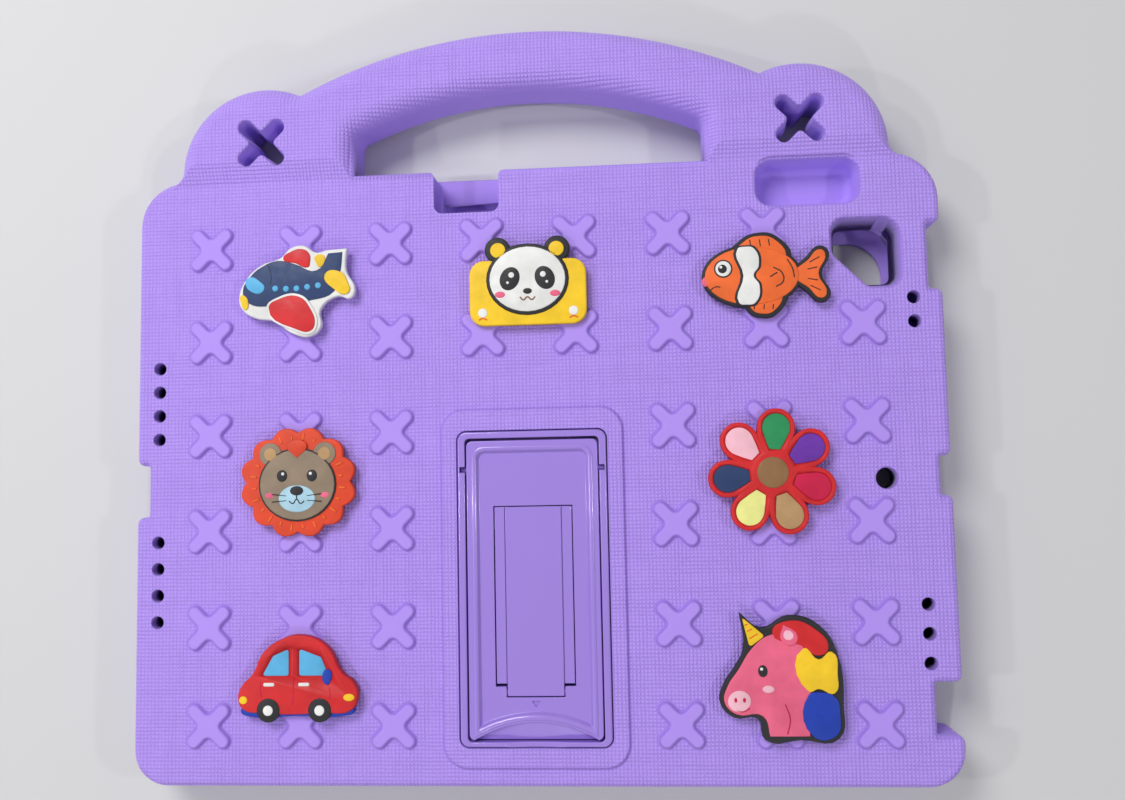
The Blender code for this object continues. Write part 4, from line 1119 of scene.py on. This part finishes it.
def leg():
    bm = plate(-LEG_X, LEG_Y0, LEG_X, LEG_Y1, 2.0, LEG_LOW, LEG_TOP, 0.45)
    angle = math.radians(LEG_OPEN)
    reach = HINGE_Z - TRAY_FLOOR - FIT
    stop = Vector((0, HINGE_Y + reach * math.sin(angle), HINGE_Z - reach * math.cos(angle)))
    cut_off(bm, stop, (0, math.sin(angle), -math.cos(angle)))
    body = carve(bm, "UNION", both_sides(lambda side: rod(
        PIN_RADIUS, (side * (LEG_X - 2), HINGE_Y, HINGE_Z), (side * PIN_REACH, HINGE_Y, HINGE_Z)
    )))
    crest = soft_step(CREST_HEIGHT + SUNK, 0.3, 1.2, 40, 5)
    body = carve(body, "UNION", [build(arched_shape(CREST, LEG_TOP - 0.5), [(0, 0.5 - SUNK)] + crest)])
    recess = arched_shape(0, LEG_TOP + PAST)
    depth = LEG_TOP + CREST_HEIGHT - LEG_FACE
    recess = build(recess, [(0, PAST - CREST_HEIGHT)] + soft_step(depth, 1.2, 0.4, 52, 6), downwards=True)
    x = ARROW_WIDTH / 2
    y = LEG_Y0 + SCOOP_RISE + ARROW_RISE
    y0, y1 = y - ARROW_HEIGHT / 2, y + ARROW_HEIGHT / 2
    arrow = flat_shape([(0, y0), (x, y1), (-x, y1)], [0] * 3, LEG_FACE - 0.6)
    holes = both_sides(lambda side: rod(
        PROP_PIN + PIN_FIT,
        (side * (PROP_X - 1.7), PROP_HINGE_Y, HINGE_Z),
        (side * (PROP_PIN_REACH + PIN_FIT), PROP_HINGE_Y, HINGE_Z),
    ))
    body = carve(body, "DIFFERENCE", [window()] + holes)
    return carve(body, "DIFFERENCE", [recess, scoop(), build(arrow, [(0, PAST)])])


leg_piece = finish_piece("leg", leg(), "leg", [plastic], ["stand_leg"])
break_edges(leg_piece, 0.18)

# %% [markdown]
# ## The prop
# The prop lies in the leg's window. Its tongue has a thinner flange down each side, which slides between
# the tray's rails. A union of two plates gives the step between them.


# %% Prop
def prop():
    low, high = HINGE_Z - PROP_HALF, HINGE_Z + PROP_HALF
    tongue = plate(-PROP_X, PROP_END, PROP_X, PROP_TIP, 0, low, high, 0.25)
    rounded = [
        edge for edge in tongue.edges
        if all(abs(vert.co.y - PROP_END) < 0.01 and vert.co.z < low + 0.01 for vert in edge.verts)
    ]
    soften(tongue, rounded, PROP_HEEL, 4, clamp=True)
    x = PROP_X + PROP_FLANGE
    flange = plate(-x, PROP_NECK, x, PROP_TIP, 0, low, high - 0.15, 0.2)
    pins = both_sides(lambda side: rod(
        PROP_PIN, (side * PROP_X / 2, PROP_HINGE_Y, HINGE_Z), (side * PROP_PIN_REACH, PROP_HINGE_Y, HINGE_Z)
    ))
    body = carve(tongue, "UNION", [flange] + pins)

    def groove(side):
        x = side * (PROP_X + GROOVE / 2)
        x0, x1 = x - GROOVE / 2, x + GROOVE / 2
        return plate(x0, PROP_NECK - 1, x1, PROP_TIP + 1, 0, high - GROOVE_DEPTH, high + 1)

    return carve(body, "DIFFERENCE", both_sides(groove))


prop_piece = finish_piece("prop", prop(), "prop", [plastic], ["stand_prop"])
break_edges(prop_piece, 0.12)

# %% [markdown]
# ## Charms
# Each charm is a soft moulding with thin fields of colour, poured one over the other. A painted texture
# would look flat at their edges, so each field is a real layer: its outline is a smooth Bezier curve
# through a few points, or an oval, made solid with a soft upper edge. Fields differ a little in height,
# so that each one shows its own edge. A design is a list of layers, from the base up, and each layer is
# the name of a colour with a solid.


# %% Charm helpers
CHARM_SEAT = 21.8
CHARM_BASE = 23.8
CHARM_EDGE = 0.6
FIELD_EDGE = 0.22
FIELD_SUNK = 0.6  # how far a field reaches down into the base
PANE_LEVEL = CHARM_BASE + 0.1  # the floor of the hollows that fields are laid into
INKS = {
    "white": (0.80, 0.80, 0.79),
    "black": (0.013, 0.013, 0.016),
    "navy": (0.018, 0.042, 0.13),
    "blue": (0.010, 0.045, 0.40),
    "sky": (0.10, 0.42, 0.72),
    "ice": (0.42, 0.66, 0.80),
    "red": (0.62, 0.018, 0.022),
    "crimson": (0.56, 0.008, 0.06),
    "orange": (0.86, 0.15, 0.03),
    "flame": (0.70, 0.06, 0.02),
    "yellow": (0.90, 0.58, 0.02),
    "lemon": (0.83, 0.82, 0.28),
    "green": (0.02, 0.26, 0.09),
    "purple": (0.14, 0.03, 0.36),
    "tan": (0.46, 0.28, 0.13),
    "brown": (0.27, 0.14, 0.06),
    "stone": (0.27, 0.20, 0.14),
    "pink": (0.90, 0.50, 0.60),
    "rose": (0.80, 0.13, 0.24),
}


def rubber(ink):
    """Soft moulded rubber in one colour, a little uneven in tone and gloss."""
    name = f"rubber_{ink}"
    if name in bpy.data.materials:
        return bpy.data.materials[name]
    nodes = Nodes(name)
    place = nodes.place()
    deeper = [value * 0.80 for value in INKS[ink]]
    cloud = nodes.span(nodes.noise(place, 150.0, 3.0), 0.0, 1.0, 0.3, 0.7)
    return nodes.finish(
        Base_Color=nodes.mix(cloud, (*INKS[ink], 1), (*deeper, 1)),
        Roughness=nodes.span(nodes.noise(place, 380.0, 3.0), 0.42, 0.58, 0.3, 0.7),
        Specular_IOR_Level=0.3,
        Normal=nodes.bump(nodes.noise(place, 900.0, 2.0), 0.00004),
    )


def drawn_curve(points, sharp, closed, width=0.0):
    """A smooth line through a few points as a mesh: bare edges, or a round bar of some width."""
    curve = bpy.data.curves.new("drawn", "CURVE")
    curve.dimensions = "3D"
    curve.resolution_u = 5
    curve.bevel_depth = width / 2
    curve.bevel_resolution = 2
    curve.use_fill_caps = True
    spline = curve.splines.new("BEZIER")
    spline.bezier_points.add(len(points) - 1)
    spline.use_cyclic_u = closed
    for index, (knot, (x, y)) in enumerate(zip(spline.bezier_points, points)):
        knot.co = (x, y, 0)
        kind = "VECTOR" if index in sharp else "AUTO"
        knot.handle_left_type = kind
        knot.handle_right_type = kind
    drawn = bpy.data.objects.new("drawn", curve)
    scene.collection.objects.link(drawn)
    bpy.context.view_layer.update()
    seen = drawn.evaluated_get(bpy.context.evaluated_depsgraph_get())
    bm = bmesh.new()
    bm.from_mesh(seen.to_mesh())
    seen.to_mesh_clear()
    bpy.data.objects.remove(drawn)
    bpy.data.curves.remove(curve)
    bmesh.ops.remove_doubles(bm, verts=bm.verts, dist=0.001)
    return bm


def smooth_shape(points, sharp=()):
    """A flat face inside a smooth outline, which is straight beside the points that are named as sharp."""
    bm = drawn_curve(points, sharp, True)
    bmesh.ops.contextual_create(bm, geom=bm.edges[:])
    return bm


def oval(x, y, across, up, turn=0.0):
    bm = disc(0, 0, 1, steps=32)
    bmesh.ops.scale(bm, verts=bm.verts, vec=(across, up, 1))
    turn_flat(bm, turn)
    shift(bm, x, y, 0)
    return bm


def base(ink, shape, rise=0.0):
    """A thick layer in one colour, from the foam up."""
    shift(shape, 0, 0, CHARM_SEAT)
    return ink, build(shape, soft_step(CHARM_BASE + rise - CHARM_SEAT, 0, CHARM_EDGE, 90, 4))


def field(ink, shape, rise, edge=FIELD_EDGE):
    """A field of colour, which rises some way above the charm's base."""
    shift(shape, 0, 0, CHARM_BASE - FIELD_SUNK)
    return ink, build(shape, soft_step(FIELD_SUNK + rise, 0, edge, 90, 3))


def spot(ink, x, y, across, up, rise, edge=FIELD_EDGE, turn=0.0):
    return field(ink, oval(x, y, across, up, turn), rise, edge)


def pair(ink, x, y, across, up, rise, edge=FIELD_EDGE, turn=0.0):
    """The same spot on both sides of a face."""
    return [spot(ink, side * x, y, across, up, rise, edge, side * turn) for side in (-1, 1)]


def patch(ink, points, rise, edge=FIELD_EDGE, sharp=()):
    return field(ink, smooth_shape(points, sharp), rise, edge)


def line(ink, points, rise, width=0.5):
    """A fine raised line that lies half sunk in a field."""
    bm = drawn_curve(points, (), False, width)
    shift(bm, 0, 0, CHARM_BASE + rise)
    return ink, bm


def hollow(shape):
    """A cutter for a hollow that a field is laid into."""
    shift(shape, 0, 0, PANE_LEVEL)
    return build(shape, [(0, 2)])


def reflected(half):
    """Draws an outline on across y = 0. Its first and last points lie on that line."""
    return half + [(x, -y) for x, y in reversed(half[1:-1])]


def post(ink):
    """The post under a charm. Its head is larger than the hole in the foam and holds the charm."""
    low = POCKET_BACK + FIT
    head = build(disc(0, 0, POST_HEAD_RADIUS, low, 32), soft_step(POST_HEAD, 0, 0.5, 90, 3))
    stem = build(disc(0, 0, POST_RADIUS, low + 1), [(0, CHARM_SEAT + 0.6 - low - 1)])
    return ink, gathered([head, stem])


def charm(name, place, layers):
    """Finishes the layers of a design and a post as one piece, with a material for each colour."""
    layers = layers + [post(layers[0][0])]
    inks = list(dict.fromkeys(ink for ink, _ in layers))
    for ink, bm in layers:
        for face in bm.faces:
            face.material_index = inks.index(ink)
    whole = gathered(bm for _, bm in layers)
    shift(whole, *place, 0)
    node = f"charm_{name}"
    return finish_piece(name, whole, "case", [rubber(ink) for ink in inks], [node])


print(len(INKS), "colours for the charms")

# %% [markdown]
# ### The airplane and the car
# Both are seen from the side. The airplane has a white edge all round, because its base is larger than
# its colours. The car's windows lie deeper than its body, so the body is cut out there and a blue field
# is laid in.


# %% Airplane and car
def airplane():
    outline = [
        (-20.8, -1.4), (-18.0, 5.3), (-12.6, 9.9), (-5.9, 12.2), (-2.6, 15.4), (2.0, 16.2), (6.6, 13.6),
        (10.2, 14.3), (17.4, 14.7), (17.1, 7.0), (20.2, 0.2), (18.6, -2.8), (14.0, -2.0), (8.0, -6.6),
        (8.2, -12.4), (4.2, -15.7), (-2.0, -14.4), (-8.4, -10.0), (-15.0, -8.8), (-19.8, -5.4),
    ]
    body = [
        (-19.3, 0.4), (-16.6, 5.8), (-12.1, 9.3), (-6.9, 11.0), (-1.0, 9.7), (6.9, 7.2), (11.0, 13.0),
        (15.9, 13.3), (15.2, 6.8), (12.8, -0.4), (4.5, -3.2), (-10.1, -4.8), (-17.0, -3.6),
    ]
    wing = [(-10.0, -5.4), (-6.2, -2.4), (0.6, -1.8), (4.4, -5.6), (6.2, -12.0), (4.4, -14.0), (0.4, -13.4)]
    edge = [(-10.9, -5.5), (-6.6, -1.7), (0.9, -1.0), (5.2, -5.2), (7.0, -12.3), (4.7, -14.9), (-0.2, -14.0)]
    upper = [(-5.0, 11.6), (-2.2, 14.1), (1.6, 14.9), (4.2, 13.2), (4.5, 10.0), (3.9, 8.5), (-0.7, 10.0)]
    tail = [(9.8, 5.6), (15.3, 6.4), (17.9, 2.4), (18.5, -0.2), (16.5, -1.5), (13.8, -0.2)]
    cockpit = [(-18.3, 3.5), (-16.8, 5.5), (-12.9, 3.7), (-11.5, 1.8), (-12.7, -0.1), (-15.6, 0.1)]
    portholes = ((-7.7, 1.3), (-3.9, 1.1), (-0.2, 1.1), (3.6, 1.5), (7.4, 1.9))
    return [
        base("white", smooth_shape(outline, (7, 8)), 0.25),
        patch("red", upper, 0.55),
        patch("yellow", [(6.1, 11.8), (8.0, 12.8), (9.7, 12.0), (8.0, 8.3), (6.6, 10.0)], 0.52),
        patch("navy", body, 0.62, sharp=(6, 7)),
        patch("white", edge, 0.72),
        patch("red", wing, 1.0),
        patch("yellow", tail, 0.9),
        patch("yellow", [(-19.8, -0.7), (-18.3, -1.1), (-17.3, -3.4), (-18.2, -5.8), (-19.8, -3.7)], 0.74),
        patch("sky", cockpit, 0.86),
        *(spot("sky", x, y, 1.1, 1.1, 0.86, 0.4) for x, y in portholes),
        line("black", [(-10.6, 10.0), (-9.2, 6.2), (-9.4, 2.8)], 0.55, 0.3),
    ]


def car():
    body = [
        (-20.4, -6.3), (-19.0, -2.2), (-15.6, 1.2), (-11.8, 8.5), (-5.2, 13.2), (1.9, 14.3), (10.0, 10.8),
        (15.4, 1.8), (19.4, -1.4), (20.6, -6.2), (18.6, -10.4), (9.0, -11.4), (-12.0, -11.4), (-18.8, -10.0),
    ]
    sill = [(-18.6, -9.2), (-19.6, -11.0), (-17.4, -12.4), (0, -12.4), (15.8, -12.4), (19.4, -11.0)]
    sill.append((18.6, -9.2))
    rear = flat_shape([(-12.9, 0.4), (-2.4, 0.4), (-2.4, 10.6), (-8.6, 8.0)], [1.0] * 4)
    front = flat_shape([(0.2, 0.4), (11.6, 0.4), (8.6, 7.4), (0.2, 10.6)], [1.0] * 4)
    ink, shell = base("red", smooth_shape(body), 0.6)
    layers = [
        (ink, carve(shell, "DIFFERENCE", [hollow(rear), hollow(front)])),
        base("blue", smooth_shape(sill), 0.1),
        field("sky", flat_shape([(-12.1, 0.9), (-2.9, 0.9), (-2.9, 9.8), (-8.3, 7.5)], [0.8] * 4), 0.3),
        field("sky", flat_shape([(0.7, 0.9), (10.8, 0.9), (8.2, 7.0), (0.7, 9.8)], [0.8] * 4), 0.3),
    ]
    for x in (-9.8, 7.8):
        layers += [spot("black", x, -10.4, 4.0, 4.0, 0.9, 0.5), spot("white", x, -10.4, 1.7, 1.7, 1.15)]
    layers += [field("white", flat_box(x - 1.9, -2.5, x + 1.9, -1.3, 0.5), 0.8) for x in (-9.6, 2.4)]
    return layers + [
        spot("yellow", -18.4, -7.0, 1.4, 1.3, 0.9),
        spot("yellow", 17.8, -6.2, 1.9, 1.2, 0.9),
        patch("blue", [(10.2, -2.0), (11.8, 0.2), (11.6, 2.6), (9.6, 2.8)], 0.95),
        line("crimson", [(-1.1, 11.4), (-1.1, 4.0), (-1.2, -3.0), (-1.4, -8.6)], 0.56, 0.32),
        line("crimson", [(-12.4, -1.0), (-12.6, -4.0), (-12.0, -6.0)], 0.56, 0.32),
        line("crimson", [(10.9, -2.8), (11.4, -5.0), (11.0, -6.8)], 0.56, 0.32),
    ]


charm("airplane", CHARM_PLACES[4], airplane())
charm("car", CHARM_PLACES[0], car())

# %% [markdown]
# ### The panda and the lion
# Two faces made of ovals, laid one on the other. The lion's mane is one circle of edges whose points are
# moved in and out, which gives soft lobes.

# %% Panda and lion
MANE_LOBES = 12
MANE_LOBE_DEPTH = 0.11
MANE_RAYS = 24


def panda():
    layers = [
        base("yellow", flat_box(-20, -14, 20, 8.5, 5, steps=8)),
        *(base("black", oval(x, 12.0, 4.4, 4.4), 0.2) for x in (-10.2, 10.2)),
        *pair("yellow", 10.0, 11.8, 2.6, 2.6, 0.45),
        base("black", oval(0, 1.6, 14.2, 12.4), 0.45),
        spot("white", 0, 1.6, 13.0, 11.2, 0.7, 0.4),
        *pair("black", 6.0, 1.8, 3.3, 4.1, 0.95, turn=24),
        *pair("white", 5.4, 3.0, 1.0, 1.0, 1.15),
        *pair("white", 6.7, 0.4, 0.5, 0.5, 1.1),
        *pair("rose", 9.4, -3.6, 1.8, 1.1, 0.85),
        spot("black", 0, -2.6, 1.5, 1.0, 0.95),
        line("brown", [(-2.6, -4.6), (-1.4, -5.6), (0, -4.6), (1.4, -5.6), (2.6, -4.6)], 0.7, 0.5),
    ]
    for x in (-15.5, 15.5):
        layers.append(spot("white", x, -9.6, 1.6, 1.6, 0.2))
        layers.append(line("orange", [(x - 1.4, -12.0), (x, -11.4), (x + 1.4, -12.0)], 0.0, 0.5))
    return layers


def lion():
    mane = disc(0, 0, 1, steps=12 * MANE_LOBES)
    for vert in mane.verts:
        turn = math.atan2(vert.co.y, vert.co.x)
        lobe = 1 - MANE_LOBE_DEPTH * (1 - abs(math.sin(MANE_LOBES / 2 * turn)))
        vert.co = Vector((20.3 * lobe * math.cos(turn), 18.9 * lobe * math.sin(turn), 0))
    layers = [base("flame", mane)]
    for index in range(MANE_RAYS):
        turn = math.tau * (index + 0.5) / MANE_RAYS
        ray = Vector((math.cos(turn), math.sin(turn)))
        layers.append(line("orange", [ray * 14.4, ray * (16.8 if index % 2 else 15.8)], 0.0, 0.7))
    layers += [
        *pair("stone", 9.4, 9.6, 3.9, 3.9, 0.4),
        *pair("tan", 9.4, 9.6, 2.2, 2.2, 0.55),
        spot("black", 0, -0.8, 13.5, 12.5, 0.45),
        spot("stone", 0, -0.8, 13.0, 12.0, 0.65, 0.4),
        spot("ice", 0, -5.6, 6.4, 4.6, 0.9, 0.4),
        spot("black", 0, -2.9, 2.3, 1.6, 1.12),
        *pair("black", 5.2, 2.2, 1.8, 2.0, 0.95, 0.3),
        *pair("white", 4.8, 2.9, 0.55, 0.55, 1.12, 0.15),
        *pair("rose", 9.6, -4.4, 1.5, 1.0, 0.75),
        line("black", [(0, -4.0), (0, -5.6)], 0.9, 0.4),
        line("black", [(-2.6, -6.4), (-1.3, -7.2), (0, -5.8), (1.3, -7.2), (2.6, -6.4)], 0.9, 0.4),
    ]
    for side in (-1, 1):
        for y, end in ((-4.6, -4.0), (-6.2, -6.6)):
            layers.append(line("black", [(side * 3.6, y), (side * 8.6, end)], 0.86, 0.3))
    tuft = [(-3.4, 12.6), (0, 8.2), (3.4, 12.6), (0, 14.4)]
    return layers + [patch("flame", tuft, 0.85, sharp=(1,))]


charm("panda", CHARM_PLACES[5], panda())
charm("lion", CHARM_PLACES[2], lion())

# %% [markdown]
# ### The fish and the unicorn
# A dark field a little larger than the coloured one gives these two a drawn edge. The fish has one white
# band; the unicorn has three locks of hair and a ringed horn.


# %% Fish and unicorn
def fish():
    tail = reflected([(8.5, 0.0), (13.6, 6.0), (18.0, 9.6), (21.2, 7.4), (18.6, 0.0)])
    inner_tail = reflected([(9.6, 0.0), (14.2, 4.8), (18.0, 8.2), (19.8, 6.8), (17.4, 0.0)])
    top_fin = [(-11.4, 7.0), (-8.0, 12.4), (-3.0, 14.6), (4.0, 13.4), (8.4, 5.0), (-2.0, 4.0)]
    top_inner = [(-9.6, 7.6), (-6.6, 11.8), (-2.6, 13.4), (3.2, 12.2), (6.6, 5.4), (-2.0, 4.4)]
    low_fin = [(-7.4, -6.0), (-6.0, -12.0), (-2.6, -14.0), (3.2, -13.2), (6.6, -5.0)]
    low_inner = [(-5.8, -7.0), (-4.8, -11.4), (-2.2, -12.8), (2.4, -12.0), (4.8, -6.0)]
    band_edge = [
        (-10.0, 9.4), (-6.6, 10.3), (-3.0, 9.6), (-1.4, 3.0), (-3.2, 0), (-1.4, -3.0), (-3.0, -9.6),
        (-6.6, -10.3), (-10.0, -9.4), (-8.4, 0),
    ]
    band = [
        (-9.1, 9.1), (-6.6, 9.8), (-3.7, 9.2), (-2.2, 3.2), (-4.0, 0), (-2.2, -3.2), (-3.7, -9.2),
        (-6.6, -9.8), (-9.1, -9.1), (-7.4, 0),
    ]
    layers = [
        base("black", oval(-4.6, 0, 16.6, 10.8), 0.2),
        *(base("black", smooth_shape(points), 0.05) for points in (tail, top_fin, low_fin)),
        *(patch("orange", points, 0.3) for points in (inner_tail, top_inner, low_inner)),
        spot("orange", -4.6, 0, 15.6, 9.8, 0.6, 0.45),
        patch("black", band_edge, 0.7),
        patch("white", band, 0.92),
        spot("black", -14.0, 2.6, 3.1, 3.1, 0.72),
        spot("white", -14.0, 2.6, 2.6, 2.6, 0.9),
        spot("black", -14.3, 2.5, 1.5, 1.5, 1.05),
        spot("white", -14.8, 3.1, 0.5, 0.5, 1.16, 0.15),
        spot("rose", -20.0, -1.6, 1.2, 1.6, 0.5),
        line("black", [(-18.4, -4.4), (-16.6, -3.4), (-15.2, -3.6)], 0.56, 0.4),
        line("black", [(2.6, 2.6), (5.4, 0.6), (5.6, -2.4), (3.2, -4.0)], 0.6, 0.4),
        line("black", [(3.8, 0.8), (1.4, -0.6)], 0.6, 0.4),
        line("black", [(7.2, 5.2), (8.8, 2.2), (9.4, -1.0)], 0.6, 0.4),
    ]
    for x, y in ((17.8, 5.6), (17.0, 2.2), (17.0, -2.2), (17.8, -5.6)):
        layers.append(line("black", [(x - 3.2, y * 0.7), (x, y)], 0.3, 0.35))
    for x in (-4.6, -1.4, 1.6):
        layers.append(line("black", [(x, 10.0), (x - 0.3, 12.2)], 0.3, 0.35))
        layers.append(line("black", [(x + 0.6, -9.8), (x + 0.4, -11.4)], 0.3, 0.35))
    return layers


def unicorn():
    outline = [
        (-19.6, -8.6), (-18.4, -3.0), (-14.8, 2.4), (-11.6, 8.4), (-12.6, 20.4), (-5.8, 15.4), (3.4, 19.2),
        (13.6, 15.6), (19.0, 5.0), (19.9, -9.0), (18.0, -20.2), (6.0, -20.5), (-5.4, -20.5), (-7.6, -13.8),
        (-15.0, -13.4),
    ]
    head = [
        (-18.2, -8.2), (-17.0, -3.2), (-13.4, 2.0), (-9.0, 8.6), (-3.6, 12.8), (4.4, 12.6), (9.4, 4.0),
        (9.2, -10.0), (8.8, -19.2), (-3.9, -19.2), (-6.0, -12.8), (-14.4, -12.2),
    ]
    horn = [(-9.6, 9.2), (-4.6, 12.8), (-11.8, 18.9)]
    ear = [(0.6, 11.4), (1.4, 16.4), (5.8, 13.0), (4.6, 10.0)]
    red_lock = [(-2.2, 13.8), (3.4, 17.6), (11.4, 15.0), (15.6, 8.6), (12.2, 6.4), (7.0, 9.6)]
    yellow_lock = [(7.6, 8.8), (12.4, 5.2), (16.6, 7.6), (18.2, 0.4), (17.0, -5.6), (12.0, -4.2), (8.8, -5.0)]
    blue_lock = [(8.8, -6.0), (12.2, -5.2), (17.2, -6.8), (18.5, -12.0), (17.0, -18.9), (9.6, -19.0)]
    layers = [
        base("black", smooth_shape(outline, (4,)), 0.1),
        patch("rose", head, 0.5, 0.35, (8, 9)),
        patch("red", red_lock, 0.72, 0.35),
        patch("yellow", yellow_lock, 0.82, 0.35),
        patch("blue", blue_lock, 0.92, 0.35),
        field("yellow", flat_shape(horn, [0.8, 0.8, 0.4]), 0.8),
        patch("rose", ear, 1.02, sharp=(1,)),
        patch("pink", [(1.8, 11.8), (2.2, 14.6), (4.6, 12.6)], 1.12),
        spot("pink", -13.4, -8.0, 3.7, 3.4, 0.66, turn=12),
        *(spot("crimson", x, -7.6, 0.5, 0.75, 0.8, 0.15) for x in (-14.6, -11.8)),
        spot("black", -5.6, 1.6, 1.5, 1.9, 0.8),
        spot("white", -6.0, 2.3, 0.5, 0.5, 0.95, 0.15),
        spot("pink", -4.0, -4.2, 1.9, 1.2, 0.66),
        line("crimson", [(-14.4, -10.9), (-12.2, -11.2), (-10.2, -10.2)], 0.5, 0.4),
        line("crimson", [(1.2, -9.0), (2.6, -13.6), (1.6, -18.4)], 0.5, 0.4),
    ]
    foot, back, tip = (Vector(corner) for corner in horn)
    for share in (0.25, 0.5, 0.72):
        left, right = foot.lerp(tip, share), back.lerp(tip, share)
        ring = [left.lerp(right, 0.15), left.lerp(right, 0.85) + Vector((0, -0.4))]
        layers.append(line("orange", ring, 0.8, 0.35))
    return layers


charm("fish", CHARM_PLACES[6], fish())
charm("unicorn", CHARM_PLACES[1], unicorn())

# %% [markdown]
# ### The flower
# Seven equal petals, so one outline is turned seven times. The petals are joined to one red body, hollows
# are cut into it, and a field of another colour is laid into each. The rim between two fields then stands
# proud, as it does on the real charm.

# %% Flower
FIRST_PETAL = 84
PETAL_INKS = ("green", "pink", "navy", "lemon", "tan", "crimson", "purple")
PETALS = len(PETAL_INKS)


def petal(number, inner, widths, outer):
    """A petal's flat shape, pointing outwards: narrow at its inner end, widest near its outer end."""
    near, wide = widths
    middle = outer - wide
    half = [(inner, near), ((inner + middle) / 2, near + (wide - near) * 0.62), (middle, wide)]
    half.append((middle + wide * math.sqrt(0.5), wide * math.sqrt(0.5)))
    points = half + [(outer, 0)] + [(x, -y) for x, y in reversed(half)]
    bm = smooth_shape(points, (0, len(points) - 1))
    turn_flat(bm, FIRST_PETAL + number * 360 / PETALS)
    return bm


def petals(*sizes):
    return [petal(number, *sizes) for number in range(PETALS)]


def flower():
    ink, body = base("red", oval(0, 0, 7.0, 7.0), 0.55)
    body = carve(body, "UNION", [base(ink, shape, 0.5)[1] for shape in petals(3.0, (2.6, 6.2), 21.2)])
    body = carve(body, "DIFFERENCE", [hollow(shape) for shape in petals(7.4, (1.9, 4.75), 19.7)])
    fields = zip(PETAL_INKS, petals(7.6, (1.75, 4.55), 19.5))
    return [
        (ink, body),
        *(field(name, shape, 0.32) for name, shape in fields),
        spot("brown", 0, 0, 5.2, 5.2, 0.85, 0.5),
    ]


charm("flower", CHARM_PLACES[3], flower())
